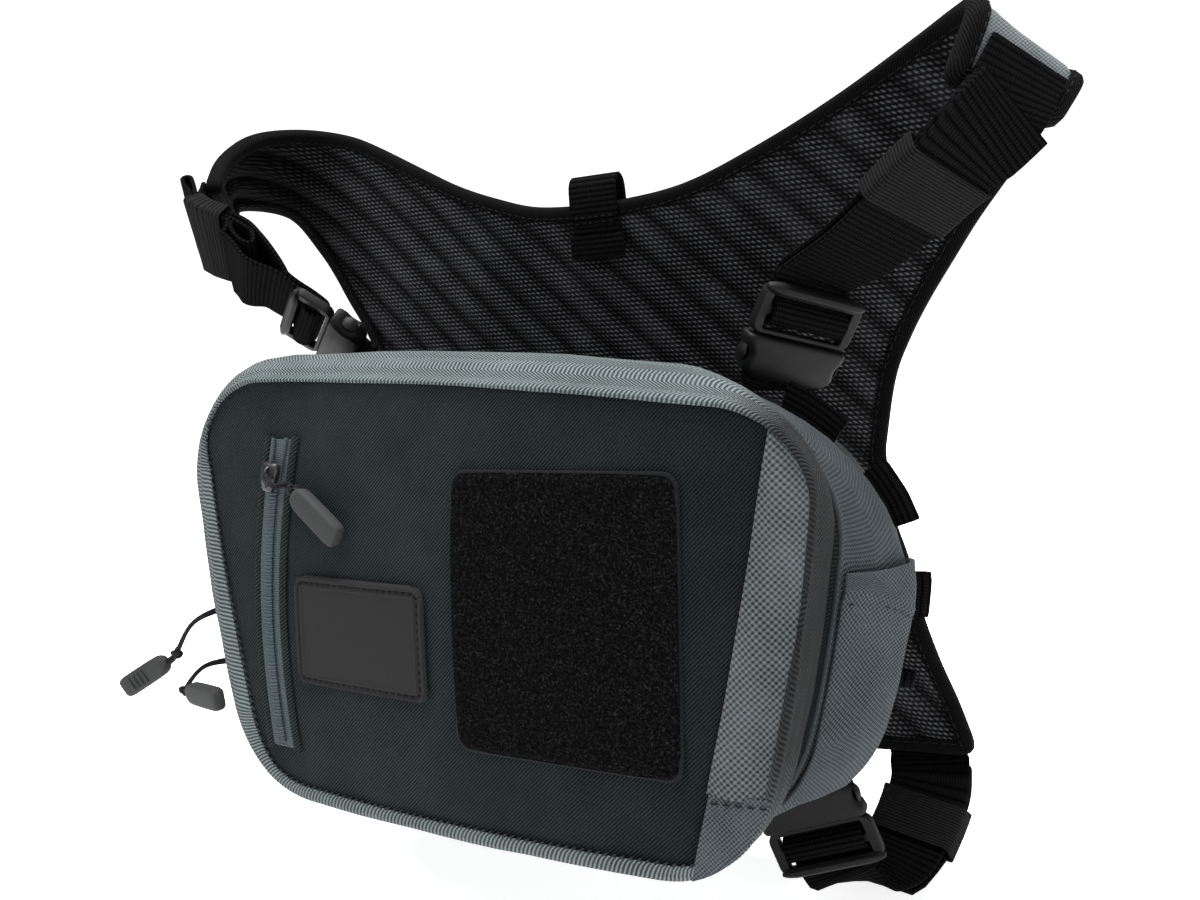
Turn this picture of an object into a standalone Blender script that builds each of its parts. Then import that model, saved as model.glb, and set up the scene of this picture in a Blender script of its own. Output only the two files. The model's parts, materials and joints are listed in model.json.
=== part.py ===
"""Chest tackle pack: a zipped bag worn on the chest, with a padded X-shaped back harness.

The bag's back panel faces +Y and its centre is the origin. The front face looks along -Y and leans
back. +X is the wearer's left. Lengths are in metres. The tables hold shares of the named sizes.
"""
from collections import namedtuple
from math import cos, pi, radians, sin, sqrt, tan

import bmesh
import bpy
from mathutils import Matrix, Vector
from mathutils.kdtree import KDTree

# Bag
FACE_WIDTH = 0.252
FACE_HEIGHT = 0.164
FACE_LEAN = radians(8.0)
FACE_CROWN = 0.007
BAG_DEPTH = 0.100
BAND_DEPTH = 0.022
ZIP_WIDTH = 0.005
ZIP_INSET = 0.0022
FRONT_GUSSET_DEPTH = 0.026
BACK_PAD = 0.006
CLOTH = 0.002
GAP = 0.0003
SIDE_TAPER = 0.82
SIDE_BOW = 0.0065
TOP_BOW = 0.010
BOTTOM_BOW = 0.006
TOP_DROOP = 0.008

# Front panel fittings
INSERT_WIDTH = 0.018
CORNER_PANEL_HEIGHT = 0.026
PATCH_WIDTH = 0.061
PATCH_HEIGHT = 0.041
PATCH_THICKNESS = 0.0022
PATCH_X = -0.042
PATCH_Z = -0.0095
LOOP_FIELD_WIDTH = 0.082
LOOP_FIELD_HEIGHT = 0.095
LOOP_FIELD_THICKNESS = 0.0022
LOOP_FIELD_X = 0.042
LOOP_FIELD_Z = 0.0035
FITTING_ROUND = 0.006
FRONT_ZIP_LENGTH = 0.119
FRONT_ZIP_TAPE = 0.011
FRONT_ZIP_X = -0.0822
FRONT_ZIP_Z = 0.002
FRONT_ZIP_BEND = 0.005
TAPE_THICKNESS = 0.0012
COIL_WIDTH = 0.0045
COIL_THICKNESS = 0.0016
SLIDER_LENGTH = 0.011
SLIDER_WIDTH = 0.008
SLIDER_THICKNESS = 0.004
PULL_CORD = 0.0026
PULLER_LENGTH = 0.027
PULLER_WIDTH = 0.0095
PULLER_THICKNESS = 0.0060

# Side pockets and loops
POCKET_PROUD = 0.0016
LOOP_WIDTH = 0.010
LOOP_PROUD = 0.0048
LOOP_LENGTH = 0.024

# Harness
HARNESS_REACH = 0.190
HARNESS_RISE = 0.190
HARNESS_DROP = 0.096
HARNESS_SETBACK = 0.030
HARNESS_PAD = 0.005
BINDING_WIDTH = 0.0066
BINDING_DEPTH = 0.0028
HANG_LOOP_WIDTH = 0.023
HANG_LOOP_RISE = 0.014
LABEL_WIDTH = 0.026
LABEL_HEIGHT = 0.010

# Webbing and buckles
WEB_WIDTH = 0.032
WEB_THICKNESS = 0.0016
BUCKLE_WIDTH = 0.042
BUCKLE_THICKNESS = 0.010
FRAME_LENGTH = 0.018
FRAME_THICKNESS = 0.004
TOP_BAR = 0.0025
MIDDLE_BAR = 0.0032
LOW_BAR = 0.002
BODY_LENGTH = 0.0155
KEEPER_LENGTH = 0.022
KEEPER_THICKNESS = 0.0012
LAYER_PITCH = 0.0021
ROLL_LENGTH = 0.017
ROLL_HEIGHT = 0.0078

# Steps round the outlines and along the sheets
CORNER_STEPS = 4
EDGE_STEPS = 4
FACE_STEPS = 10
SIDE_STEPS = CORNER_STEPS + EDGE_STEPS
RING_STEPS = 4 * SIDE_STEPS

HALF_WIDTH = FACE_WIDTH / 2
HALF_HEIGHT = FACE_HEIGHT / 2

# A section of the bag: its depth as a share of its ring's depth, left and right half widths as
# shares of HALF_WIDTH, top and bottom as shares of HALF_HEIGHT, the corner radii at the top left,
# top right and bottom as shares of HALF_HEIGHT, and shares of TOP_BOW, TOP_DROOP and FACE_LEAN.
Section = namedtuple("Section", "depth left right top bottom round_left round_right round_low "
                     "bow droop lean")
FACE_SECTION = Section(0.0, 1.015, 0.992, 0.94, 0.91, 0.36, 0.32, 0.42, 0.40, 1.0, 1.0)
BAND_SECTIONS = [
    FACE_SECTION,
    Section(0.06, 1.020, 0.993, 0.945, 0.915, 0.37, 0.34, 0.43, 0.42, 1.0, 1.0),
    Section(0.28, 1.115, 0.998, 0.970, 0.94, 0.44, 0.40, 0.46, 0.60, 1.0, 1.0),
    Section(0.60, 1.165, 1.000, 0.985, 0.96, 0.50, 0.48, 0.50, 0.70, 1.0, 1.0),
    Section(1.00, 1.150, 0.990, 0.980, 0.96, 0.50, 0.55, 0.52, 0.70, 1.0, 1.0),
]
FRONT_GUSSET_SECTIONS = [
    Section(0.00, 1.135, 1.005, 0.940, 0.95, 0.52, 0.60, 0.54, 0.70, 1.0, 1.0),
    Section(0.06, 1.138, 1.010, 0.935, 0.95, 0.53, 0.61, 0.54, 0.70, 1.0, 1.0),
    Section(0.32, 1.165, 1.085, 0.880, 0.95, 0.62, 0.68, 0.58, 0.60, 0.9, 0.95),
    Section(0.65, 1.180, 1.145, 0.840, 0.95, 0.70, 0.74, 0.60, 0.60, 0.7, 0.85),
    Section(1.00, 1.160, 1.145, 0.805, 0.95, 0.74, 0.76, 0.60, 0.60, 0.5, 0.70),
]
REAR_GUSSET_SECTIONS = [
    Section(0.00, 1.150, 1.135, 0.800, 0.945, 0.74, 0.76, 0.60, 0.60, 0.5, 0.70),
    Section(0.40, 1.125, 1.115, 0.765, 0.93, 0.74, 0.74, 0.58, 0.60, 0.3, 0.40),
    Section(0.80, 1.070, 1.065, 0.735, 0.90, 0.70, 0.70, 0.54, 0.60, 0.1, 0.12),
    Section(0.95, 1.018, 1.013, 0.715, 0.88, 0.66, 0.66, 0.50, 0.60, 0.0, 0.0),
    Section(1.00, 1.015, 1.010, 0.715, 0.88, 0.66, 0.66, 0.50, 0.60, 0.0, 0.0),
]
BACK_SECTION = Section(1.0, 1.005, 1.000, 0.710, 0.87, 0.66, 0.66, 0.50, 0.60, 0.0, 0.0)

# Points on the harness outline: x as a share of HARNESS_REACH, y as a share of HARNESS_SETBACK,
# z as a share of HARNESS_RISE above the origin and of HARNESS_DROP below it.
Spot = namedtuple("Spot", "x y z")
DIP = Spot(0.015, 0.72, 0.722)
LOWER_DIP = Spot(0.0, 0.85, -0.30)
RIGHT_TOP_EDGE = [
    Spot(0.226, 0.63, 0.741),
    Spot(0.413, 0.57, 0.801),
    Spot(0.587, 0.40, 0.870),
    Spot(0.747, 0.00, 0.938),
    Spot(0.819, -0.40, 0.961),
    Spot(0.857, -0.95, 0.946),
    Spot(0.825, -1.25, 0.845),
]
RIGHT_OUTER_EDGE = [
    Spot(0.955, -0.40, 0.772),
    Spot(0.985, 0.10, 0.838),
    Spot(0.909, 0.47, 0.763),
    Spot(0.858, 0.60, 0.700),
    Spot(0.805, 0.70, 0.633),
    Spot(0.756, 0.80, 0.561),
    Spot(0.706, 0.90, 0.486),
    Spot(0.662, 0.97, 0.406),
    Spot(0.629, 1.00, 0.322),
]
LEFT_TOP_EDGE = [
    Spot(-0.141, 0.73, 0.732),
    Spot(-0.256, 0.80, 0.763),
    Spot(-0.375, 0.87, 0.807),
    Spot(-0.492, 0.90, 0.867),
    Spot(-0.620, 0.87, 0.937),
    Spot(-0.696, 0.77, 0.972),
    Spot(-0.786, 0.40, 0.992),
    Spot(-0.835, -0.30, 0.978),
    Spot(-0.835, -0.95, 0.925),
    Spot(-0.790, -1.50, 0.860),
]
LEFT_OUTER_EDGE = [
    Spot(-0.930, -0.45, 0.795),
    Spot(-0.985, 0.10, 0.845),
    Spot(-0.900, 0.73, 0.817),
    Spot(-0.836, 0.97, 0.713),
    Spot(-0.796, 1.00, 0.645),
    Spot(-0.762, 1.00, 0.579),
    Spot(-0.699, 1.00, 0.458),
]
WAIST = Spot(0.603, 1.00, 0.171)
LOWER_OUTER_EDGE = [
    Spot(0.615, 1.00, 0.03),
    Spot(0.645, 1.00, -0.14),
    Spot(0.667, 1.00, -0.36),
    Spot(0.702, 1.00, -0.581),
    Spot(0.737, 1.00, -0.753),
    Spot(0.772, 0.93, -0.938),
]
LOWER_INNER_EDGE = [
    Spot(0.20, 0.87, -0.38),
    Spot(0.40, 0.90, -0.62),
    Spot(0.565, 0.93, -0.97),
]

COLOURS = {
    "panel_dark": (0.020, 0.026, 0.028, 1.0),
    "fabric_teal": (0.085, 0.105, 0.110, 1.0),
    "fabric_grey": (0.110, 0.125, 0.135, 1.0),
    "fabric_light": (0.150, 0.165, 0.170, 1.0),
    "zip_slate": (0.070, 0.090, 0.100, 1.0),
    "loop_black": (0.006, 0.006, 0.007, 1.0),
    "rubber_dark": (0.030, 0.032, 0.034, 1.0),
    "mesh_black": (0.012, 0.012, 0.013, 1.0),
    "webbing_black": (0.010, 0.010, 0.011, 1.0),
    "elastic_black": (0.022, 0.022, 0.023, 1.0),
    "buckle_black": (0.016, 0.016, 0.017, 1.0),
    "metal_dark": (0.060, 0.060, 0.065, 1.0),
}
ROUGHNESS = {"rubber_dark": 0.55, "buckle_black": 0.35, "metal_dark": 0.3}
METALLIC = {"metal_dark": 1.0}


def clear_scene():
    for item in list(bpy.data.objects):
        bpy.data.objects.remove(item, do_unlink=True)


def make_collection(name):
    collection = bpy.data.collections.new(name)
    bpy.context.scene.collection.children.link(collection)
    return collection


def material(node, finish):
    made = bpy.data.materials.new(node)
    made.use_nodes = True
    shader = made.node_tree.nodes["Principled BSDF"]
    shader.inputs["Base Color"].default_value = COLOURS[finish]
    shader.inputs["Roughness"].default_value = ROUGHNESS.get(finish, 0.85)
    shader.inputs["Metallic"].default_value = METALLIC.get(finish, 0.0)
    return made


def add_object(name, mesh, finish):
    """Link a mesh as one named sub-part with its own material."""
    item = bpy.data.objects.new(name, mesh)
    PACK.objects.link(item)
    mesh.materials.append(material(name, finish))
    return item


def mesh_from(name, points, faces):
    mesh = bpy.data.meshes.new(name)
    mesh.from_pydata([tuple(p) for p in points], [], faces)
    shell = bmesh.new()
    shell.from_mesh(mesh)
    bmesh.ops.remove_doubles(shell, verts=shell.verts, dist=0.00002)
    bmesh.ops.recalc_face_normals(shell, faces=shell.faces)
    shell.to_mesh(mesh)
    shell.free()
    return mesh


def thicken(item, thickness):
    """Give an open sheet its wall, half on each side."""
    solid = item.modifiers.new("Wall", "SOLIDIFY")
    solid.thickness = thickness
    solid.offset = 0.0
    return item


def grid_faces(rows, columns, closed, first=0):
    faces = []
    last = columns if closed else columns - 1
    for row in range(rows - 1):
        for column in range(last):
            a = first + row * columns + column
            b = first + row * columns + (column + 1) % columns
            faces.append((a, b, b + columns, a + columns))
    return faces


def sheet(name, grids, thickness, finish, closed=False):
    """An open sheet of one or more grids of points that share their edges, given a wall."""
    points = []
    faces = []
    for grid in grids:
        faces += grid_faces(len(grid), len(grid[0]), closed, len(points))
        for row in grid:
            points += row
    return thicken(add_object(name, mesh_from(name, points, faces), finish), thickness)


def loft(name, rings, finish, frame=None):
    """A closed solid through rings of equal count, with flat ends."""
    count = len(rings[0])
    points = [p for ring in rings for p in ring]
    faces = grid_faces(len(rings), count, True)
    faces.append(tuple(range(count)))
    faces.append(tuple(range(len(points) - count, len(points))))
    item = add_object(name, mesh_from(name, points, faces), finish)
    if frame is not None:
        item.matrix_world = frame
    return item


def along(points, share):
    """The point at a share of a polyline's length."""
    lengths = [(b - a).length for a, b in zip(points, points[1:])]
    goal = share * sum(lengths)
    for a, b, length in zip(points, points[1:], lengths):
        if goal <= length:
            return a.lerp(b, goal / length if length else 0.0)
        goal -= length
    return points[-1].copy()


def resample(points, steps):
    return [along(points, i / steps) for i in range(steps + 1)]


def smooth_path(points, steps):
    """A Catmull-Rom curve through the points, with a number of steps in each span."""
    ends = [2 * points[0] - points[1]] + points + [2 * points[-1] - points[-2]]
    path = []
    for p0, p1, p2, p3 in zip(ends, ends[1:], ends[2:], ends[3:]):
        for i in range(steps):
            t = i / steps
            path.append(0.5 * (2 * p1 + (p2 - p0) * t + (2 * p0 - 5 * p1 + 4 * p2 - p3) * t * t
                               + (3 * p1 - p0 - 3 * p2 + p3) * t ** 3))
    path.append(points[-1].copy())
    return path


def coons(bottom, top, left, right):
    """A grid between four edges: bottom and top run left to right, left and right run upward."""
    columns = len(bottom) - 1
    rows = len(left) - 1
    grid = []
    for j in range(rows + 1):
        v = j / rows
        line = []
        for i in range(columns + 1):
            u = i / columns
            edges = bottom[i].lerp(top[i], v) + left[j].lerp(right[j], u)
            corners = bottom[0].lerp(bottom[-1], u).lerp(top[0].lerp(top[-1], u), v)
            line.append(edges - corners)
        grid.append(line)
    return grid


def corner_arc(before, corner, after, radius, steps):
    a = (before - corner).normalized()
    b = (after - corner).normalized()
    half = a.angle(b) / 2
    centre = corner + (a + b).normalized() * (radius / sin(half))
    start = corner + a * (radius / tan(half)) - centre
    end = corner + b * (radius / tan(half)) - centre
    sweep = start.angle(end)
    arc = []
    for i in range(steps + 1):
        t = i / steps
        arc.append(centre + (start * sin((1 - t) * sweep) + end * sin(t * sweep)) / sin(sweep))
    return arc


def outline(section, inset=0.0):
    """The section's closed outline in its own plane, from the middle of the top left corner.

    The order is left side, bottom, right side, top, with SIDE_STEPS points to each.
    """
    left = section.left * HALF_WIDTH - inset
    right = section.right * HALF_WIDTH - inset
    top = section.top * HALF_HEIGHT - inset
    bottom = section.bottom * HALF_HEIGHT - inset
    corners = [Vector((-left, top)), Vector((-left * SIDE_TAPER, -bottom)),
               Vector((right * SIDE_TAPER, -bottom)), Vector((right, top))]
    rounds = (section.round_left, section.round_low, section.round_low, section.round_right)
    radii = [HALF_HEIGHT * share - inset for share in rounds]
    points = []
    for i in range(4):
        arc = corner_arc(corners[i - 1], corners[i], corners[(i + 1) % 4], radii[i], CORNER_STEPS)
        following = corner_arc(corners[i], corners[(i + 1) % 4], corners[(i + 2) % 4],
                               radii[(i + 1) % 4], CORNER_STEPS)
        points += arc[:-1]
        points += [arc[-1].lerp(following[0], k / EDGE_STEPS) for k in range(EDGE_STEPS)]
    half_arc = CORNER_STEPS // 2
    points = points[half_arc:] + points[:half_arc]
    shaped = []
    for point in points:
        u = point.x / (right if point.x > 0 else left)
        v = point.y / (top if point.y > 0 else bottom)
        x = point.x + SIDE_BOW * u * (1 - v * v)
        if point.y > 0:
            z = point.y + v * (TOP_BOW * section.bow * (1 - u * u)
                               - TOP_DROOP * section.droop * u)
        else:
            z = point.y + v * BOTTOM_BOW * (1 - u * u)
        shaped.append(Vector((x, z)))
    return shaped


def place(flat, depth, lean):
    """A point of a section's plane set at its depth behind the front face."""
    angle = FACE_LEAN * lean
    return Vector((flat.x, -BAG_DEPTH + depth + flat.y * sin(angle), flat.y * cos(angle)))


def section_ring(section, start, length, inset=0.0):
    depth = start + section.depth * length
    return [place(p, depth, section.lean) for p in outline(section, inset)]


def blend_section(sections, share):
    """The section at a share of its ring's depth, read between the table's rows."""
    for a, b in zip(sections, sections[1:]):
        if share <= b.depth:
            t = (share - a.depth) / (b.depth - a.depth)
            return Section(*[p + (q - p) * t for p, q in zip(a, b)])
    return sections[-1]


BAND_START = CLOTH / 2 + GAP
BAND_END = BAND_START + BAND_DEPTH
ZIP_END = BAND_END + GAP + ZIP_WIDTH
FRONT_GUSSET_START = ZIP_END + GAP
FRONT_GUSSET_END = FRONT_GUSSET_START + FRONT_GUSSET_DEPTH
REAR_GUSSET_START = FRONT_GUSSET_END + GAP
REAR_GUSSET_END = BAG_DEPTH - BACK_PAD - GAP
REAR_GUSSET_DEPTH = REAR_GUSSET_END - REAR_GUSSET_START


def gusset_point(turn, depth, proud=0.0):
    """A point on the bag's side wall: turn runs from 0 to 1 round the outline."""
    if depth <= FRONT_GUSSET_END:
        share = (depth - FRONT_GUSSET_START) / FRONT_GUSSET_DEPTH
        section = blend_section(FRONT_GUSSET_SECTIONS, share)
    else:
        share = (depth - REAR_GUSSET_START) / REAR_GUSSET_DEPTH
        section = blend_section(REAR_GUSSET_SECTIONS, max(share, 0.0))
    ring = outline(section, -proud)
    step = (turn % 1.0) * RING_STEPS
    first = int(step) % RING_STEPS
    return place(ring[first].lerp(ring[(first + 1) % RING_STEPS], step - int(step)), depth,
                 section.lean)


def face_point(x, z, lift=0.0):
    """A point on the crowned front face, lifted off it towards the front."""
    u = min(abs(x) / HALF_WIDTH, 1.0)
    v = min(abs(z) / HALF_HEIGHT, 1.0)
    crown = FACE_CROWN * (1 - u * u) * (1 - v * v)
    return place(Vector((x, z)), -crown - lift, 1.0)


def face_grid(grid, lift=0.0):
    return [[face_point(p.x, p.y, lift) for p in row] for row in grid]


def face_edges():
    """The face outline's four sides, each from corner to corner."""
    ring = outline(FACE_SECTION)
    ring.append(ring[0])
    return [ring[i * SIDE_STEPS:(i + 1) * SIDE_STEPS + 1] for i in range(4)]


def split_at_x(points, x):
    """Divide a left-to-right polyline where it passes x."""
    before = [p for p in points if p.x < x]
    after = [p for p in points if p.x >= x]
    a, b = before[-1], after[0]
    cut = a.lerp(b, (x - a.x) / (b.x - a.x))
    return before + [cut], [cut] + after


def build_face():
    """The dark front panel, the woven insert at its right edge and the corner piece below."""
    left, bottom, right, top = face_edges()
    left = left[::-1]
    top = top[::-1]
    upper_x = right[-1].x - 0.2 * INSERT_WIDTH
    lower_x = right[0].x - 0.64 * INSERT_WIDTH
    top_main, top_rest = split_at_x(top, upper_x)
    bottom_main, bottom_rest = split_at_x(bottom, lower_x)
    outer = bottom_rest + right[1:] + top_rest[::-1][1:]
    panel_edge = []
    for i in range(FACE_STEPS + 1):
        t = i / FACE_STEPS
        straight = bottom_main[-1].lerp(top_main[-1], t)
        panel_edge.append(straight + Vector((0.1 * INSERT_WIDTH * sin(pi * t), 0.0)))
    seam = GAP + 0.0002
    inner_edge = [p + Vector((seam, 0.0)) for p in panel_edge]
    outer_edge = resample(outer, 2 * FACE_STEPS)
    panel = coons(resample(bottom_main, FACE_STEPS), resample(top_main, FACE_STEPS),
                  resample(left, FACE_STEPS), panel_edge)
    sheet("front_panel", [face_grid(panel)], CLOTH, "panel_dark")
    level = -HALF_HEIGHT * FACE_SECTION.bottom + CORNER_PANEL_HEIGHT
    upper_outer = [p for p in outer_edge if p.y > level + seam]
    upper_inner = [p for p in inner_edge if p.y > level + seam]
    insert = coons(resample([upper_inner[0], upper_outer[0]], 4),
                   resample([upper_inner[-1], upper_outer[-1]], 4),
                   resample(upper_inner, FACE_STEPS), resample(upper_outer, FACE_STEPS))
    sheet("woven_insert", [face_grid(insert)], CLOTH, "fabric_light")
    drop = Vector((0.0, -2 * seam))
    lower_outer = [p for p in outer_edge if p.y < upper_outer[0].y - 2 * seam]
    lower_inner = [p for p in inner_edge if p.y < upper_inner[0].y - 2 * seam]
    lower_outer = lower_outer[1:] + [upper_outer[0] + drop]
    lower_inner = lower_inner + [upper_inner[0] + drop]
    corner = coons(resample([lower_inner[0], lower_outer[0]], 4),
                   resample([lower_inner[-1], lower_outer[-1]], 4),
                   resample(lower_inner, EDGE_STEPS), resample(lower_outer, EDGE_STEPS))
    sheet("corner_panel", [face_grid(corner)], CLOTH, "fabric_grey")


def ring_wall(name, sections, start, length, thickness, finish, inset=0.0):
    rings = [section_ring(s, start, length, inset) for s in sections]
    return sheet(name, [rings], thickness, finish, closed=True)


def build_walls():
    """The rings of cloth from the front seam to the back panel, open at both ends."""
    ring_wall("front_band", BAND_SECTIONS, BAND_START, BAND_DEPTH, CLOTH, "fabric_teal")
    last = BAND_SECTIONS[-1]
    zip_sections = [last._replace(depth=0.0), last._replace(depth=1.0)]
    ring_wall("main_zip", zip_sections, BAND_END + GAP, ZIP_WIDTH, CLOTH, "zip_slate", ZIP_INSET)
    ring_wall("front_gusset", FRONT_GUSSET_SECTIONS, FRONT_GUSSET_START, FRONT_GUSSET_DEPTH,
              CLOTH, "fabric_grey")
    ring_wall("rear_gusset", REAR_GUSSET_SECTIONS, REAR_GUSSET_START, REAR_GUSSET_DEPTH,
              CLOTH, "fabric_grey")


def build_back_panel():
    """The flat padded panel that lies against the chest."""
    front = [place(p, BAG_DEPTH - BACK_PAD, 0.0) for p in outline(BACK_SECTION)]
    rear = [p + Vector((0.0, BACK_PAD, 0.0)) for p in front]
    loft("back_panel", [front, rear], "mesh_black")


def rounded_plate(name, x, z, width, height, thickness, finish):
    """A plate with round corners that follows the front face."""
    half_w = width / 2
    half_h = height / 2
    levels = []
    for i in range(4):
        levels.append(-half_h + FITTING_ROUND * (1 - cos(pi / 2 * i / 3)))
    rest = 5
    levels += [levels[3] + (half_h - FITTING_ROUND) * 2 * k / rest for k in range(1, rest)]
    levels += [-v for v in levels[3::-1]]
    grid = []
    for level in levels:
        inside = max(abs(level) - (half_h - FITTING_ROUND), 0.0)
        reach = half_w - FITTING_ROUND + sqrt(max(FITTING_ROUND ** 2 - inside ** 2, 0.0))
        grid.append([Vector((x + reach * (2 * i / 6 - 1), z + level)) for i in range(7)])
    lift = CLOTH / 2 + GAP + thickness / 2
    return sheet(name, [face_grid(grid, lift)], thickness, finish)


def zip_line(share):
    """The front zip's centre line, a slight curve down the left of the front panel."""
    z = FRONT_ZIP_Z + FRONT_ZIP_LENGTH * (0.5 - share)
    x = FRONT_ZIP_X - FRONT_ZIP_BEND * sin(pi * share) + FRONT_ZIP_BEND * (0.5 - share)
    return x, z


def zip_strip(name, width, thickness, lift, finish):
    grid = []
    for i in range(13):
        x, z = zip_line(i / 12)
        grid.append([face_point(x + width * (k - 0.5), z, lift) for k in (0.0, 0.5, 1.0)])
    return sheet(name, [grid], thickness, finish)


def tube(name, points, diameter, finish):
    """A round cord through a few points."""
    curve = bpy.data.curves.new(name, "CURVE")
    curve.dimensions = "3D"
    curve.bevel_depth = diameter / 2
    curve.bevel_resolution = 2
    curve.use_fill_caps = True
    path = smooth_path(points, 3)
    spline = curve.splines.new("POLY")
    spline.points.add(len(path) - 1)
    for target, point in zip(spline.points, path):
        target.co = (*point, 1.0)
    item = bpy.data.objects.new(name, curve)
    PACK.objects.link(item)
    curve.materials.append(material(name, finish))
    return item


def rounded_ring(half_x, half_y, level, corner, steps=2):
    """A rounded rectangle at a level of a local frame."""
    ring = []
    for turn, (sx, sy) in enumerate(((1, 1), (-1, 1), (-1, -1), (1, -1))):
        for i in range(steps + 1):
            angle = pi / 2 * (turn + i / steps)
            ring.append(Vector((sx * (half_x - corner) + corner * cos(angle),
                                sy * (half_y - corner) + corner * sin(angle), level)))
    return ring


def axes(origin, up, width):
    """A frame whose X is the width, Z is up and Y follows from both."""
    z = up.normalized()
    x = (width - width.dot(z) * z).normalized()
    y = z.cross(x)
    return Matrix.Translation(origin) @ Matrix((x, y, z)).transposed().to_4x4()


def moulded_block(name, frame, length, width, thickness, finish, ends=0.8):
    """A soft-edged moulded piece along the frame's Z, a little narrower at its ends."""
    profile = ((0.0, 0.78 * ends), (0.12, ends), (0.5, 1.0), (0.88, 1.0), (1.0, 0.85))
    rings = []
    for share, size in profile:
        half_y = thickness / 2 * min(1.0, size + 0.05)
        rings.append(rounded_ring(width / 2 * size, half_y, share * length, 0.3 * thickness))
    return loft(name, rings, finish, frame)


def build_front_zip():
    tape_lift = CLOTH / 2 + GAP + TAPE_THICKNESS / 2
    coil_lift = tape_lift + TAPE_THICKNESS / 2 + GAP + COIL_THICKNESS / 2
    zip_strip("front_zip_tape", FRONT_ZIP_TAPE, TAPE_THICKNESS, tape_lift, "zip_slate")
    zip_strip("front_zip_coil", COIL_WIDTH, COIL_THICKNESS, coil_lift, "zip_slate")
    slider_lift = coil_lift + COIL_THICKNESS / 2 + GAP + SLIDER_THICKNESS / 2
    top = 0.065
    high = face_point(*zip_line(top), slider_lift)
    low = face_point(*zip_line(top + SLIDER_LENGTH / FRONT_ZIP_LENGTH), slider_lift)
    frame = axes(low, high - low, Vector((1.0, 0.0, 0.0)))
    moulded_block("front_zip_slider", frame, SLIDER_LENGTH, SLIDER_WIDTH, SLIDER_THICKNESS,
                  "metal_dark")
    x, z = zip_line(top + 0.5 * SLIDER_LENGTH / FRONT_ZIP_LENGTH)
    cord_lift = slider_lift + SLIDER_THICKNESS / 2 + GAP + PULL_CORD / 2
    rest_lift = CLOTH / 2 + 3 * GAP + PULLER_THICKNESS / 2
    seat = face_point(x + 0.35 * PULLER_LENGTH, z - 0.32 * PULLER_LENGTH, rest_lift)
    ahead = face_point(x + 1.12 * PULLER_LENGTH, z - 0.94 * PULLER_LENGTH, rest_lift)
    way = (ahead - seat).normalized()
    cord = [face_point(x + 0.001, z + 0.001, cord_lift),
            face_point(x + 0.20 * PULLER_LENGTH, z - 0.16 * PULLER_LENGTH, cord_lift),
            seat - way * 0.005, seat - way * 2 * GAP]
    tube("front_pull_cord", cord, PULL_CORD, "webbing_black")
    moulded_block("front_puller", axes(seat, way, Vector((0.6, 0.0, 0.8))), PULLER_LENGTH,
                  PULLER_WIDTH, PULLER_THICKNESS, "rubber_dark")


# A main zip pull: its turn round the outline, the points its cord bends at and ends at as shares
# of HALF_WIDTH, BAG_DEPTH and HALF_HEIGHT, and the way its moulded end points.
Pull = namedtuple("Pull", "turn bend end heading")
PULLS = {
    "upper": Pull(0.140, (-1.183, -0.925, -0.232), (-1.294, -0.985, -0.439), (-0.85, -0.20, -0.48)),
    "lower": Pull(0.178, (-1.160, -0.930, -0.470), (-1.130, -1.055, -0.543), (0.95, -0.25, 0.10)),
}


def bag_share(shares):
    return Vector((shares[0] * HALF_WIDTH, shares[1] * BAG_DEPTH, shares[2] * HALF_HEIGHT))


def build_main_pulls():
    """Two cord pulls that hang from the main zip on the left side of the bag."""
    thickness = 0.7 * ZIP_WIDTH
    reach = 1.6 * SLIDER_THICKNESS
    for name, pull in PULLS.items():
        depth = BAND_END + GAP + ZIP_WIDTH / 2
        ring = section_ring(BAND_SECTIONS[-1]._replace(depth=0.0), depth, 0.0, ZIP_INSET)
        step = pull.turn * RING_STEPS
        seat = ring[int(step)].lerp(ring[int(step) + 1], step - int(step))
        tangent = (ring[int(step) + 1] - ring[int(step)]).normalized()
        normal = tangent.cross(Vector((0.0, -cos(FACE_LEAN), sin(FACE_LEAN)))).normalized()
        out = normal if normal.x < 0 else -normal
        base = seat + out * (CLOTH / 2 + GAP)
        moulded_block("main_slider_" + name, axes(base, out, tangent), reach, SLIDER_LENGTH,
                      thickness, "metal_dark", 1.0)
        head = base + out * (reach + GAP + PULL_CORD / 2)
        way = Vector(pull.heading).normalized()
        end = bag_share(pull.end)
        tube("main_pull_cord_" + name, [head, bag_share(pull.bend), end - way * 0.005,
                                        end - way * 2 * GAP], PULL_CORD, "webbing_black")
        moulded_block("main_puller_" + name, axes(end, way, Vector((0.1, 0.0, 1.0))),
                      PULLER_LENGTH, PULLER_WIDTH, PULLER_THICKNESS, "rubber_dark")


def build_pockets():
    """Flat open-topped pockets on both sides, from a level hem down to the lower corners."""
    lift = CLOTH + GAP + POCKET_PROUD
    for name, first, last in (("left", 0.085, 0.235), ("right", 0.665, 0.515)):
        grid = []
        for i in range(8):
            turn = first + (last - first) * i / 7
            row = []
            for k in range(5):
                depth = FRONT_GUSSET_START + FRONT_GUSSET_DEPTH * (0.01 + 0.95 * k / 4)
                swell = POCKET_PROUD * sin(pi * k / 4) * sin(pi * (0.15 + 0.85 * i / 7))
                row.append(gusset_point(turn, depth, lift + swell))
            grid.append(row)
        sheet("side_pocket_" + name, [grid], CLOTH, "fabric_grey")


LOOP_TURNS = (0.769, 0.731, 0.690, 0.585)


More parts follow.
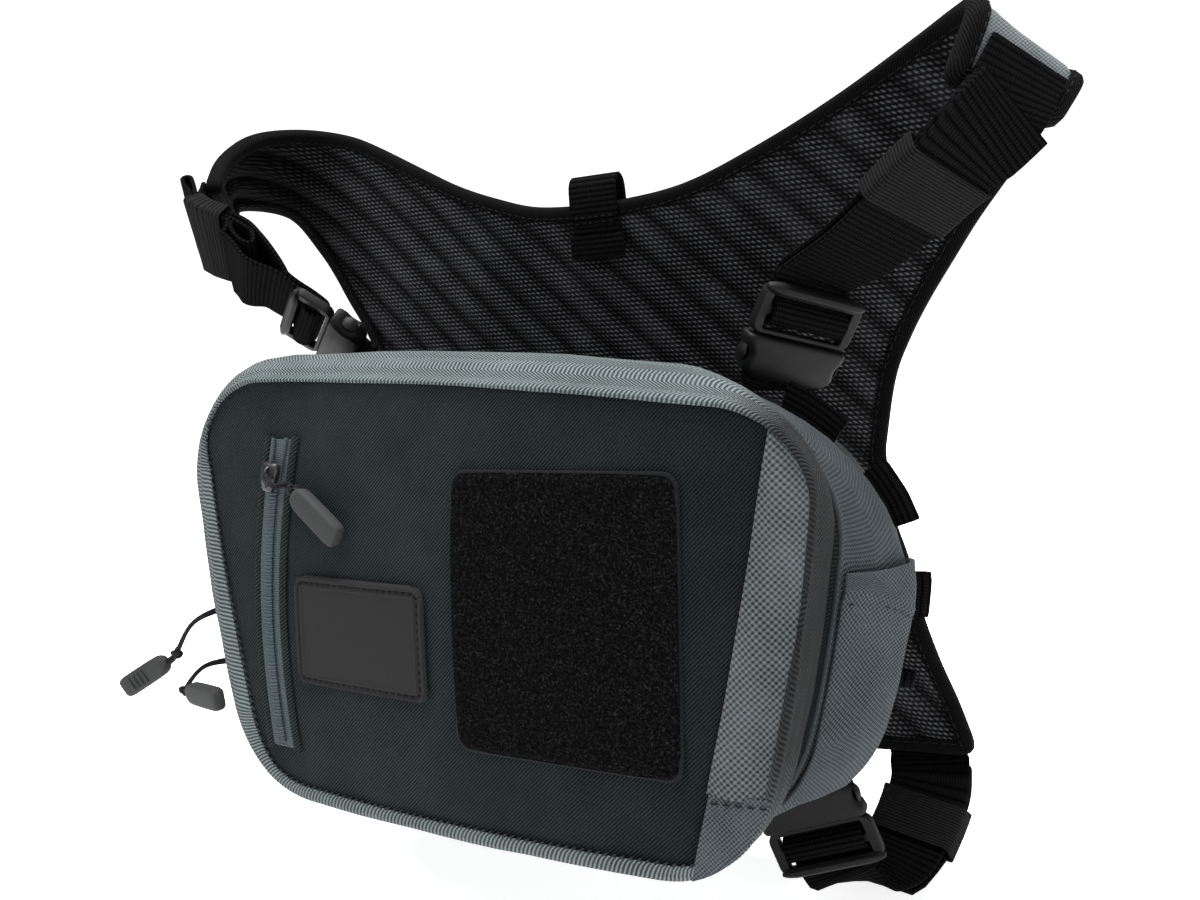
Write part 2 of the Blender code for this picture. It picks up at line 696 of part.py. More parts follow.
def build_side_loops():
    """Short webbing loops that stand off the rear seam of each side."""
    middle = REAR_GUSSET_START + 0.30 * REAR_GUSSET_DEPTH
    lift = CLOTH / 2 + 2 * GAP + WEB_THICKNESS / 2
    half = LOOP_LENGTH / (2 * (FACE_WIDTH + FACE_HEIGHT) * 1.9)
    for side, name in SIDES.items():
        for number, turn in enumerate(LOOP_TURNS, 1):
            here = turn if side > 0 else 0.762 - turn
            rows = []
            for i in range(9):
                angle = pi * i / 8
                proud = lift + LOOP_PROUD * max(sin(angle), 0.0) ** 0.6
                rows.append([gusset_point(here - half * cos(angle), middle + LOOP_WIDTH * k,
                                          proud) for k in (-0.5, 0.5)])
            sheet("side_loop_%s_%d" % (name, number), [rows], WEB_THICKNESS, "webbing_black")


def spot(s):
    """The place of a point on the harness outline."""
    height = HARNESS_RISE if s.z > 0 else HARNESS_DROP
    return Vector((s.x * HARNESS_REACH, s.y * HARNESS_SETBACK, s.z * height))


def mirrored(spots):
    return [s._replace(x=-s.x) for s in spots]


ARM_STEPS = 11
LOWER_ARM_STEPS = 6
ACROSS_STEPS = 5
WAISTS = {1: WAIST, -1: WAIST._replace(x=-WAIST.x)}
SIDES = {1: "right", -1: "left"}


def edge(spots, steps):
    return resample(smooth_path([spot(s) for s in spots], 4), steps)


def upper_arm(side):
    """An arm's grid: rows from the outer edge to the top edge, columns from the centre out."""
    top_edge, outer_edge = UPPER_EDGES[side]
    top = edge([DIP] + top_edge, ARM_STEPS)
    outer = edge([WAISTS[side]] + outer_edge[::-1], ARM_STEPS)
    inner = edge([WAISTS[side], DIP], ACROSS_STEPS)
    return coons(outer, top, inner, resample([outer[-1], top[-1]], ACROSS_STEPS))


def lower_arm(side):
    """A lower arm's grid: rows from the inner edge to the outer edge."""
    outer_edge = LOWER_OUTER_EDGE if side > 0 else mirrored(LOWER_OUTER_EDGE)
    inner_edge = LOWER_INNER_EDGE if side > 0 else mirrored(LOWER_INNER_EDGE)
    outer = edge([WAISTS[side]] + outer_edge, LOWER_ARM_STEPS)
    inner = edge([LOWER_DIP] + inner_edge, LOWER_ARM_STEPS)
    root = edge([LOWER_DIP, WAISTS[side]], ACROSS_STEPS)
    return coons(inner, outer, root, resample([inner[-1], outer[-1]], ACROSS_STEPS))


def harness_centre():
    return coons(edge([WAISTS[-1], LOWER_DIP], ACROSS_STEPS), edge([DIP, WAISTS[1]], ACROSS_STEPS),
                 edge([WAISTS[-1], DIP], ACROSS_STEPS), edge([LOWER_DIP, WAISTS[1]], ACROSS_STEPS))


def side_rim(side):
    """Stations from the upper dip out round both arms to the lower dip: point and outward way."""
    upper = upper_arm(side)
    lower = lower_arm(side)
    stations = []
    for grid, rows in ((upper, (-1, -2, 0, 1)), (lower, (-1, -2, 0, 1))):
        out_edge = [(a, a - b) for a, b in zip(grid[rows[0]], grid[rows[1]])]
        tip = [(row[-1], row[-1] - row[-2]) for row in grid[::-1]]
        back_edge = [(a, a - b) for a, b in zip(grid[rows[2]], grid[rows[3]])][::-1]
        corner = (tip[0][0], tip[0][1].normalized() + out_edge[-1][1].normalized())
        last = (tip[-1][0], tip[-1][1].normalized() + back_edge[0][1].normalized())
        stations += out_edge[:-1] + [corner] + tip[1:-1] + [last] + back_edge[1:]
    middle = ARM_STEPS * 2 + ACROSS_STEPS
    waist = (stations[middle][0], stations[middle][1] + stations[middle + 1][1])
    return stations[:middle] + [waist] + stations[middle + 2:]


def rim_frames(panel):
    """The whole rim of the panel's sheet as point, outward and normal directions, once round."""
    right = side_rim(1)
    left = side_rim(-1)
    stations = right[:-1] + left[::-1][:-1]
    lookup = KDTree(len(panel.vertices))
    for vertex in panel.vertices:
        lookup.insert(vertex.co, vertex.index)
    lookup.balance()
    frames = []
    count = len(stations)
    for i, (point, out) in enumerate(stations):
        normal = panel.vertices[lookup.find(point)[1]].normal
        before = (point - stations[i - 1][0]).normalized()
        after = (stations[(i + 1) % count][0] - point).normalized()
        tangent = (before + after).normalized()
        outward = out - out.dot(tangent) * tangent
        outward = (outward - outward.dot(normal) * normal).normalized()
        stretch = 1 / max(sqrt((1 + before.dot(after)) / 2), 0.5)
        frames.append((point, outward * stretch, normal))
    eased = []
    for i, (point, outward, normal) in enumerate(frames):
        twist = 1 - min(normal.dot(frames[i - 1][2]), normal.dot(frames[(i + 1) % count][2]))
        eased.append((point, outward * (1 + 2 * twist), normal))
    return eased


def build_harness():
    """The padded panel and the tape bound round its edge."""
    grids = [upper_arm(1), upper_arm(-1), lower_arm(1), lower_arm(-1), harness_centre()]
    panel = sheet("harness_panel", grids, HARNESS_PAD, "mesh_black")
    near = 3.2 * GAP
    profile = ((near, 0.38), (near, -0.38), (BINDING_DEPTH, -0.27), (BINDING_DEPTH, 0.27))
    rings = []
    for point, outward, normal in rim_frames(panel.data):
        rings.append([point + outward * o + normal * n * BINDING_WIDTH for o, n in profile])
    points = [p for ring in rings for p in ring]
    size = len(profile)
    faces = []
    for i in range(len(rings)):
        j = (i + 1) % len(rings)
        for k in range(size):
            m = (k + 1) % size
            faces.append((i * size + k, i * size + m, j * size + m, j * size + k))
    add_object("harness_binding", mesh_from("harness_binding", points, faces), "webbing_black")


def build_hang_loop():
    """The webbing loop over the upper dip and the bare label sewn below it."""
    dip = spot(DIP)
    on_panel = HARNESS_PAD / 2 + 2 * GAP + WEB_THICKNESS / 2
    over_tape = BINDING_WIDTH / 2 + 2 * GAP + WEB_THICKNESS / 2
    rise = HANG_LOOP_RISE
    path = [(-on_panel, -0.62), (-on_panel, -0.35), (-over_tape, -0.10), (-over_tape, 0.30),
            (-0.8 * over_tape, 0.85), (0.0, 1.05), (0.8 * over_tape, 0.85), (over_tape, 0.30),
            (over_tape, -0.10), (on_panel, -0.35), (on_panel, -0.62)]
    waist = spot(WAIST)
    slope = (waist.y - dip.y) / (dip.z - waist.z)
    centres = smooth_path([dip + Vector((0.0, y - slope * min(z, 0.0) * rise, z * rise))
                           for y, z in path], 2)
    along_edge = (spot(RIGHT_TOP_EDGE[0]) - spot(LEFT_TOP_EDGE[0])).normalized()
    half = Vector((along_edge.x, along_edge.y, 0.0)) * HANG_LOOP_WIDTH / 2
    rows = [[p - half, p + half] for p in centres]
    sheet("hang_loop", [rows], WEB_THICKNESS, "webbing_black")
    top = dip + Vector((0.0, -on_panel, -0.62 * rise - 2 * GAP))
    side = half * LABEL_WIDTH / HANG_LOOP_WIDTH
    label = []
    for i in range(3):
        level = top - Vector((0.0, -0.0002 * i, LABEL_HEIGHT * i / 2))
        label.append([level - side, level, level + side])
    sheet("label_tab", [label], TAPE_THICKNESS, "webbing_black")


# A buckle's place: the point where its two halves meet as shares of HALF_WIDTH, BAG_DEPTH and
# HALF_HEIGHT, the way its frame points and the way its width runs.
Buckle = namedtuple("Buckle", "x y z up width")
BUCKLES = {
    "upper_right": Buckle(0.792, -0.235, 1.005, (0.453, 0.0, 0.891), (0.54, 0.76, -0.36)),
    "upper_left": Buckle(-0.780, -0.440, 1.185, (-0.63, -0.44, 0.63), (0.76, -0.51, 0.40)),
    "lower_right": Buckle(0.79, -0.305, -1.215, (0.36, 0.0, -0.93), (-0.99, -0.08, -0.09)),
    "lower_left": Buckle(-0.79, -0.305, -1.215, (-0.36, 0.0, -0.93), (-0.99, 0.08, 0.09)),
}


def buckle_frame(name):
    """Local X is the buckle's width, Y runs up into its strap and Z faces out of its front."""
    b = BUCKLES[name]
    origin = Vector((b.x * HALF_WIDTH, b.y * BAG_DEPTH, b.z * HALF_HEIGHT))
    up = Vector(b.up).normalized()
    width = Vector(b.width)
    width = (width - width.dot(up) * up).normalized()
    turned = Matrix((width, up, width.cross(up))).transposed().to_4x4()
    return Matrix.Translation(origin) @ turned


def round_rectangle(half_x, low, high, corner, steps=2):
    points = []
    centres = ((half_x - corner, high - corner), (corner - half_x, high - corner),
               (corner - half_x, low + corner), (half_x - corner, low + corner))
    for turn, (x, y) in enumerate(centres):
        for i in range(steps + 1):
            angle = pi / 2 * (turn + i / steps)
            points.append((x + corner * cos(angle), y + corner * sin(angle)))
    return points


def windowed_plate(name, frame, outlines, thickness, finish):
    """A flat moulded plate: the first outline is its edge and the others are its windows."""
    curve = bpy.data.curves.new(name, "CURVE")
    curve.dimensions = "2D"
    curve.fill_mode = "BOTH"
    curve.extrude = thickness / 2
    for points in outlines:
        spline = curve.splines.new("POLY")
        spline.points.add(len(points) - 1)
        for target, (x, y) in zip(spline.points, points):
            target.co = (x, y, 0.0, 1.0)
        spline.use_cyclic_u = True
    item = bpy.data.objects.new(name, curve)
    PACK.objects.link(item)
    curve.materials.append(material(name, finish))
    item.matrix_world = frame
    return item


def build_buckle(name):
    """The strap's frame half and the bag's body half of a side-release buckle."""
    frame = buckle_frame(name)
    half = BUCKLE_WIDTH / 2
    slot = WEB_WIDTH / 2 + 3 * GAP
    bar_low = LOW_BAR + (FRAME_LENGTH - LOW_BAR - TOP_BAR - MIDDLE_BAR) / 2
    bar_high = bar_low + MIDDLE_BAR
    outlines = [round_rectangle(half, 0.0, FRAME_LENGTH, 0.003),
                round_rectangle(slot, LOW_BAR, bar_low, 0.0008),
                round_rectangle(slot, bar_high, FRAME_LENGTH - TOP_BAR, 0.0008)]
    windowed_plate("buckle_frame_" + name, frame, outlines, FRAME_THICKNESS, "buckle_black")
    rings = []
    for share, wide, thick in ((0.0, 0.80, 0.72), (0.15, 0.90, 0.95), (0.6, 0.98, 1.0),
                               (0.9, 1.0, 0.92), (1.0, 0.97, 0.80)):
        ring = rounded_ring(half * wide, BUCKLE_THICKNESS / 2 * thick, 0.0, 0.0024)
        level = -GAP - BODY_LENGTH * (1 - share)
        rings.append([Vector((p.x, level, p.y)) for p in ring])
    loft("buckle_body_" + name, rings, "buckle_black", frame)


NEAR_LAYER = 0.75
FAR_LAYER = 2.20


def layer_depth(layer):
    """How far behind the buckle frame's middle a layer of webbing lies."""
    return FRAME_THICKNESS / 2 + layer * WEB_THICKNESS


def threaded_path():
    """The strap's line through the frame's windows, from its far layer to its near layer."""
    t = FRAME_LENGTH
    f = FRAME_THICKNESS / 2
    w = WEB_THICKNESS
    far = -layer_depth(FAR_LAYER)
    near = -layer_depth(NEAR_LAYER)
    return [(1.06 * t, far), (0.65 * t, far), (0.28 * t, -f - 1.7 * w), (0.215 * t, -f - 0.4 * w),
            (0.245 * t, 0.0), (0.32 * t, f + 0.4 * w), (0.42 * t, f + 0.9 * w),
            (0.52 * t, f + 0.9 * w), (0.61 * t, f + 0.4 * w), (0.70 * t, 0.0),
            (0.766 * t, -f - 0.25 * w), (0.845 * t, near), (1.06 * t, near)]


def row_at(centre, way):
    return [centre - way * WEB_WIDTH / 2, centre, centre + way * WEB_WIDTH / 2]


def arm_row(grid, from_tip, lift, face, like):
    """A strap's row on an arm, at a distance from the arm's tip.

    face is the sign of Y on the arm's outer side and like is the way the row should run.
    """
    columns = [[row[-1] for row in grid], [row[-2] for row in grid]]
    step = sum((a - b).length for a, b in zip(*columns)) / len(grid)
    line = [a.lerp(b, from_tip / step) for a, b in zip(*columns)]
    if (line[-1] - line[0]).dot(like) < 0:
        line = line[::-1]
    length = sum((b - a).length for a, b in zip(line, line[1:]))
    half = WEB_WIDTH / 2 / length
    row = [along(line, share) for share in (0.5 - half, 0.5, 0.5 + half)]
    middle = len(grid) // 2
    inward = (columns[1][middle] - columns[0][middle]).normalized()
    normal = (row[2] - row[0]).cross(inward).normalized()
    if normal.y * face < 0:
        normal = -normal
    return [p + normal * lift for p in row]


# A strap: its buckle, the arm and side it is sewn to, the sign of Y on the arm's outer side, and
# the points it passes as shares of HARNESS_REACH, BAG_DEPTH and HARNESS_RISE, with the way its
# width runs there.
Strap = namedtuple("Strap", "buckle arm side face free")
STRAPS = {
    "shoulder_strap_right": Strap("upper_right", "upper", 1, -1, [
        ((0.663, -0.270, 0.605), (0.54, 0.74, -0.40)),
        ((0.774, -0.330, 0.692), (0.57, 0.72, -0.40)),
        ((0.847, -0.365, 0.742), (0.62, 0.69, -0.37)),
    ]),
    "shoulder_strap_left": Strap("upper_left", "upper", -1, -1, [
        ((-0.616, -0.500, 0.647), (0.70, -0.50, 0.50)),
        ((-0.653, -0.490, 0.687), (0.58, -0.49, 0.65)),
        ((-0.695, -0.480, 0.716), (0.44, -0.47, 0.76)),
        ((-0.790, -0.510, 0.758), (0.44, -0.47, 0.76)),
    ]),
    "waist_strap_right": Strap("lower_right", "lower", 1, 1, [
        ((0.597, -0.180, -0.663), (-0.95, 0.20, -0.05)),
        ((0.642, -0.030, -0.666), (-0.90, 0.40, 0.00)),
        ((0.670, 0.110, -0.628), (-0.93, 0.30, -0.05)),
        ((0.692, 0.230, -0.560), (-0.98, 0.10, -0.08)),
    ]),
    "waist_strap_left": Strap("lower_left", "lower", -1, 1, [
        ((-0.597, -0.180, -0.663), (-0.95, -0.20, 0.05)),
        ((-0.642, -0.030, -0.666), (-0.90, -0.40, 0.00)),
        ((-0.670, 0.110, -0.628), (-0.93, -0.30, 0.05)),
        ((-0.692, 0.230, -0.560), (-0.98, -0.10, 0.08)),
    ]),
}


def sewn_line(name):
    """The rows of a strap's sewn part, from its buckle to the arm."""
    s = STRAPS[name]
    frame = buckle_frame(s.buckle)
    lift = HARNESS_PAD / 2 + 2 * GAP + WEB_THICKNESS / 2
    grid = upper_arm(s.side) if s.arm == "upper" else lower_arm(s.side)
    stations = [(frame @ Vector((0.0, 1.3 * FRAME_LENGTH, -layer_depth(FAR_LAYER))),
                 frame.to_3x3() @ Vector((1.0, 0.0, 0.0)))]
    for shares, way in s.free:
        stations.append((Vector((shares[0] * HARNESS_REACH, shares[1] * BAG_DEPTH,
                                 shares[2] * HARNESS_RISE)), Vector(way)))
    like = stations[-1][1]
    landing = [arm_row(grid, d, lift, s.face, like) for d in (-0.006, 0.004, 0.014)]
    stations.append((landing[0][1], landing[0][2] - landing[0][0]))
    centres = smooth_path([c for c, way in stations], 4)
    ways = smooth_path([way.normalized() for c, way in stations], 4)
    rows = []
    for i, centre in enumerate(centres[:-1]):
        tangent = (centres[i + 1] - centres[max(i - 1, 0)]).normalized()
        way = ways[i]
        rows.append(row_at(centre, (way - way.dot(tangent) * tangent).normalized()))
    return rows + landing


def line_frame(rows, share):
    """The centre, direction, width and loose-end side of a strap at a share of its length."""
    centres = [row[1] for row in rows]
    centre = along(centres, share)
    tangent = (along(centres, min(share + 0.02, 1.0))
               - along(centres, max(share - 0.02, 0.0))).normalized()
    way = along([row[2] for row in rows], share) - centre
    way = (way - way.dot(tangent) * tangent).normalized()
    return centre, tangent, way, way.cross(tangent)


def layer_rows(rows, spacings):
    """Rows that follow a strap at (share, distance) pairs on its loose-end side."""
    made = []
    for share, distance in spacings:
        centre, tangent, way, normal = line_frame(rows, share)
        made.append(row_at(centre + normal * distance, way))
    return made


def fold_rows(rows, share, low, high):
    """A tight turn of webbing from the outer distance to the inner one."""
    centre, tangent, way, normal = line_frame(rows, share)
    radius = (high - low) / 2
    turned = []
    for i in range(5):
        angle = pi * i / 4
        turned.append(row_at(centre + normal * (low + radius + radius * cos(angle))
                             + tangent * radius * sin(angle), way))
    return turned


def roll_rows(rows, share, centre_distance):
    """A flat spiral of webbing, from its outer end to its heart."""
    centre, tangent, way, normal = line_frame(rows, share)
    turned = []
    for i in range(13):
        angle = pi * i / 8
        drop = LAYER_PITCH * angle / (2 * pi)
        long = ROLL_LENGTH / 2 - drop
        wide = ROLL_HEIGHT / 2 - drop
        turned.append(row_at(centre + normal * (centre_distance - wide * cos(angle))
                             - tangent * long * sin(angle), way))
    return turned


def spread(pairs, steps):
    """More (share, distance) pairs between the given ones."""
    made = []
    for (a, p), (b, q) in zip(pairs, pairs[1:]):
        for i in range(steps):
            t = i / steps
            made.append((a + (b - a) * t, p + (q - p) * t * t * (3 - 2 * t)))
    return made + [pairs[-1]]


def sleeve(name, rows, first, last, depth):
    """An elastic keeper round the strap's layers between two shares of its length."""
    inner_x = WEB_WIDTH / 2 + 3 * GAP + KEEPER_THICKNESS / 2
    inner_y = depth / 2 + WEB_THICKNESS / 2 + 3 * GAP + KEEPER_THICKNESS / 2
    rings = []
    for i in range(4):
        centre, tangent, way, normal = line_frame(rows, first + (last - first) * i / 3)
        middle = centre + normal * depth / 2
        rings.append([middle + way * x + normal * y
                      for x, y in round_rectangle(inner_x, -inner_y, inner_y, 0.0012, 2)])
    sheet(name, [rings], KEEPER_THICKNESS, "elastic_black", closed=True)


# How a strap's loose end runs: the shares of the sewn part's length where its keeper starts and
# ends and where its fold turns.
Tail = namedtuple("Tail", "keeper_start keeper_end fold")
TAILS = {
    "shoulder_strap_right": Tail(0.38, 0.59, 0.80),
    "waist_strap_right": Tail(0.40, 0.60, 0.72),
    "waist_strap_left": Tail(0.40, 0.60, 0.72),
}
LEFT_TAIL = Tail(0.39, 0.545, 0.61)
LAYER_STEP = (FAR_LAYER - NEAR_LAYER) * WEB_THICKNESS
STACK = 2 * LAYER_PITCH


def threaded_rows(name):
    """The rows through the buckle, from the loose end's layer to the sewn part's layer."""
    frame = buckle_frame(STRAPS[name].buckle)
    way = frame.to_3x3() @ Vector((1.0, 0.0, 0.0))
    rows = [row_at(frame @ Vector((0.0, y, z)), way) for y, z in threaded_path()]
    return rows[::-1]


def lay_strap(name, sewn, tail, keeper):
    """The strap from its loose end through the buckle to the arm, and the keeper round it."""
    rows = tail[::-1] + threaded_rows(name) + sewn
    sheet(name, [[[row[0], row[2]] for row in rows]], WEB_THICKNESS, "webbing_black")
    sleeve(name.replace("strap", "keeper"), sewn, keeper.keeper_start, keeper.keeper_end, STACK)


def build_folded_strap(name):
    """A strap whose loose end lies along it, folded back under itself beyond the keeper."""
    keeper = TAILS[name]
    sewn = sewn_line(name)
    out = spread([(0.0, LAYER_STEP), (keeper.keeper_start, STACK), (keeper.keeper_end, STACK),
                  (keeper.fold, STACK)], 2)
    back = spread([(keeper.fold, LAYER_PITCH), (keeper.keeper_end, LAYER_PITCH),
                   (keeper.keeper_start + 0.02, LAYER_PITCH)], 2)
    tail = layer_rows(sewn, out)[:-1] + fold_rows(sewn, keeper.fold, LAYER_PITCH, STACK)
    lay_strap(name, sewn, tail + layer_rows(sewn, back)[1:], keeper)


def build_rolled_strap(name):
    """The left shoulder strap: its loose end loops out past the keeper and ends in a roll."""
    keeper = LEFT_TAIL
    sewn = sewn_line(name)
    hump = ROLL_HEIGHT + STACK
    out = spread([(0.0, LAYER_STEP), (0.13, hump), (0.30, hump), (keeper.keeper_start - 0.025, STACK),
                  (keeper.fold, STACK)], 3)
    centre, tangent, way, normal = line_frame(sewn, keeper.fold)
    loop = []
    for ahead, off in ((0.25, 1.15), (0.65, 1.8), (1.00, 2.0), (1.14, 1.6), (1.05, 1.15),
                       (0.70, 0.85), (0.25, 0.55)):
        loop.append(row_at(centre + tangent * ROLL_LENGTH * ahead + normal * STACK * off, way))
    back = spread([(keeper.fold, LAYER_PITCH), (keeper.keeper_start, LAYER_PITCH)], 2)
    tail = layer_rows(sewn, out) + loop + layer_rows(sewn, back)
    lay_strap(name, sewn, tail + roll_rows(sewn, 0.235, hump / 2), keeper)


# Where a buckle's tab is sewn: the turns round the outline it lies between, and whether it runs
# round the outline or back along the bag.
Tab = namedtuple("Tab", "first last round")
TABS = {
    "upper_right": Tab(0.765, 0.860, True),
    "upper_left": Tab(0.965, 0.890, False),
    "lower_right": Tab(0.490, 0.390, False),
    "lower_left": Tab(0.260, 0.360, False),
}
TAB_COLUMNS = (-0.5, -0.25, 0.0, 0.25, 0.5)


def build_bag_tab(name):
    """The short webbing tab that holds a buckle's body to the bag."""
    tab = TABS[name]
    frame = buckle_frame(name)
    way = frame.to_3x3() @ Vector((1.0, 0.0, 0.0))
    start = -BODY_LENGTH - 2 * GAP
    rows = []
    for run in (0.0, 0.0015):
        base = frame @ Vector((0.0, start - run, 0.0))
        rows.append([base + way * WEB_WIDTH * k for k in TAB_COLUMNS])
    depth = BAG_DEPTH + base.y - 0.6 * base.z * sin(FACE_LEAN)
    lift = CLOTH / 2 + 3 * GAP + WEB_THICKNESS / 2
    turns = [tab.first + (tab.last - tab.first) * i / 40 for i in range(41)]
    nearest = min(turns, key=lambda turn: (gusset_point(turn, depth, lift) - base).length)
    inward = 1 if tab.last > tab.first else -1
    per_turn = 2 * (FACE_WIDTH + FACE_HEIGHT) * 0.95
    for run in (0.007, 0.012, 0.017):
        line = []
        for k in TAB_COLUMNS:
            if tab.round:
                line.append(gusset_point(nearest + inward * run / per_turn, depth + WEB_WIDTH * k,
                                         lift))
            else:
                line.append(gusset_point(nearest + WEB_WIDTH * k / per_turn, depth + run, lift))
        rows.append(line if (line[-1] - line[0]).dot(way) > 0 else line[::-1])
    sheet("bag_tab_" + name, [rows], WEB_THICKNESS, "webbing_black")


UPPER_EDGES = {1: (RIGHT_TOP_EDGE, RIGHT_OUTER_EDGE), -1: (LEFT_TOP_EDGE, LEFT_OUTER_EDGE)}


def main():
    build_face()
    build_walls()
    build_back_panel()
    rounded_plate("rubber_patch", PATCH_X, PATCH_Z, PATCH_WIDTH, PATCH_HEIGHT, PATCH_THICKNESS,
                  "rubber_dark")
    rounded_plate("loop_field", LOOP_FIELD_X, LOOP_FIELD_Z, LOOP_FIELD_WIDTH,
                  LOOP_FIELD_HEIGHT, LOOP_FIELD_THICKNESS, "loop_black")
    build_front_zip()
    build_main_pulls()
    build_pockets()
    build_side_loops()
    build_harness()
    build_hang_loop()
    for name in BUCKLES:
        build_buckle(name)
        build_bag_tab(name)
    for name in TAILS:
        build_folded_strap(name)
    build_rolled_strap("shoulder_strap_left")


clear_scene()
PACK = make_collection("chest_tackle_pack")
main()
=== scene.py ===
"""Looks of the chest tackle pack: cloth, webbing, moulded pieces, light and camera."""
import json
from collections import namedtuple
from math import cos, pi, radians, sin, sqrt, tan

import bmesh
import bpy
from mathutils import Matrix, Vector, noise
from mathutils.kdtree import KDTree

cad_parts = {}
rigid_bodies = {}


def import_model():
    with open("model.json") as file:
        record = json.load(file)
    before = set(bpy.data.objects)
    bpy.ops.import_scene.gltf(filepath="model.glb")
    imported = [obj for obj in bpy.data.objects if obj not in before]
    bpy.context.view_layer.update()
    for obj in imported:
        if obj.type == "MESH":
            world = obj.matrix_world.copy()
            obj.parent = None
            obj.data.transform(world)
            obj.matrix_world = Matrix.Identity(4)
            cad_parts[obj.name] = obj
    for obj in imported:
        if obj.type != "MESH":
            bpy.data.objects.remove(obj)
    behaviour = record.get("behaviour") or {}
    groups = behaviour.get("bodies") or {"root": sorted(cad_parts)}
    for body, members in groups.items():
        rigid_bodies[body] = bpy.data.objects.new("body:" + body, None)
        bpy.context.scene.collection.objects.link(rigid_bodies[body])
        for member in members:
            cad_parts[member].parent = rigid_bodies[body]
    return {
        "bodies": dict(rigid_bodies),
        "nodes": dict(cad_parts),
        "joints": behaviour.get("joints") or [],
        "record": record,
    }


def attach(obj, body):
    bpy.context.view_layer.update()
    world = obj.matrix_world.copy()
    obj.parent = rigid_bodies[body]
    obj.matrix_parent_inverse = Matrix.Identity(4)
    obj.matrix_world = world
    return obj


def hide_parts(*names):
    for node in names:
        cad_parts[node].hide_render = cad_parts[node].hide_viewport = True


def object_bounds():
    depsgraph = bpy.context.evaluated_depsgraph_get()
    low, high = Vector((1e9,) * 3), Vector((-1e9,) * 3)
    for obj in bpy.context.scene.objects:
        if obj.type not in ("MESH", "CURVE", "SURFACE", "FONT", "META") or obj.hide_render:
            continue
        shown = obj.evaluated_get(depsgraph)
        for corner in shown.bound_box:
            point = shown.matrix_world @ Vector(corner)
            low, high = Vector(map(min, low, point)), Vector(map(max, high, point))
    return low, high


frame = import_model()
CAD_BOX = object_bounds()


# Lengths are in metres. X runs right as seen from the front, Y to the back and Z up.
CORNER_STEPS = 12
EDGE_STEPS = 12
FACE_STEPS = 48

# Bag
FACE_WIDTH = 0.252
FACE_HEIGHT = 0.164
FACE_LEAN = radians(8.0)
FACE_CROWN = 0.007
BAG_DEPTH = 0.100
BAND_DEPTH = 0.022
ZIP_WIDTH = 0.005
ZIP_INSET = 0.0022
FRONT_GUSSET_DEPTH = 0.026
BACK_PAD = 0.006
CLOTH = 0.002
GAP = 0.0003
SIDE_WALL = 0.0016
INSERT_WALL = 0.0014
PLATE_WALL = 0.0012
ZIP_CLOTH_WALL = 0.0009
SIDE_TAPER = 0.82
SIDE_BOW = 0.0065
TOP_BOW = 0.010
BOTTOM_BOW = 0.006
TOP_DROOP = 0.008
# Front panel fittings
INSERT_WIDTH = 0.018
CORNER_PANEL_HEIGHT = 0.026
PATCH_WIDTH = 0.061
PATCH_HEIGHT = 0.041
PATCH_THICKNESS = 0.0022
PATCH_X = -0.042
PATCH_Z = -0.0095
LOOP_FIELD_WIDTH = 0.082
LOOP_FIELD_HEIGHT = 0.095
LOOP_FIELD_X = 0.042
LOOP_FIELD_Z = 0.0035
FRONT_ZIP_LENGTH = 0.119
FRONT_ZIP_TAPE = 0.011
FRONT_ZIP_X = -0.0822
FRONT_ZIP_Z = 0.002
FRONT_ZIP_BEND = 0.005
TAPE_THICKNESS = 0.0012
COIL_WIDTH = 0.0045
COIL_THICKNESS = 0.0016
COIL_TEETH = 74
ZIP_STEPS = 48
SLIDER_START = 0.065
SLIDER_LENGTH = 0.011
SLIDER_WIDTH = 0.008
SLIDER_THICKNESS = 0.004
PULL_CORD = 0.0026
KNOT_SIZE = 0.00066
KNOT_DEPTH = 0.00096
PULLER_LENGTH = 0.027
PULLER_WIDTH = 0.0095
PULLER_THICKNESS = 0.0060
# Side pockets and loops
POCKET_PROUD = 0.0016
POCKET_ROWS = 40
POCKET_COLUMNS = 16
HEM_DROP = 0.002
TAB_PROUD = 0.0098
TAB_LENGTH = 0.018
LOOP_TURNS = (0.769, 0.731, 0.690, 0.585)
# Harness
HARNESS_REACH = 0.190
HARNESS_RISE = 0.190
HARNESS_DROP = 0.096
HARNESS_SETBACK = 0.030
HARNESS_PAD = 0.005
BINDING_WIDTH = 0.0066
HANG_LOOP_WIDTH = 0.023
HANG_LOOP_RISE = 0.014
LABEL_WIDTH = 0.026
LABEL_HEIGHT = 0.010
QUILT_PITCH = 0.020
ARM_STEPS = 11
LOWER_ARM_STEPS = 6
ACROSS_STEPS = 5
ARM_FINE = 8
# Webbing and buckles
WEB_WIDTH = 0.032
WEB_THICKNESS = 0.0016
WEB_CORNER = 0.45
NEAR_LAYER = 0.75
FAR_LAYER = 2.20
BUCKLE_WIDTH = 0.042
BUCKLE_THICKNESS = 0.010
FRAME_LENGTH = 0.018
FRAME_THICKNESS = 0.004
TOP_BAR = 0.0025
MIDDLE_BAR = 0.0032
LOW_BAR = 0.002
BODY_LENGTH = 0.0155
KEEPER_THICKNESS = 0.0012
LAYER_PITCH = 0.0021
ROLL_LENGTH = 0.017
ROLL_HEIGHT = 0.0078

SIDE_STEPS = CORNER_STEPS + EDGE_STEPS
RING_STEPS = 4 * SIDE_STEPS
HALF_WIDTH = FACE_WIDTH / 2
HALF_HEIGHT = FACE_HEIGHT / 2
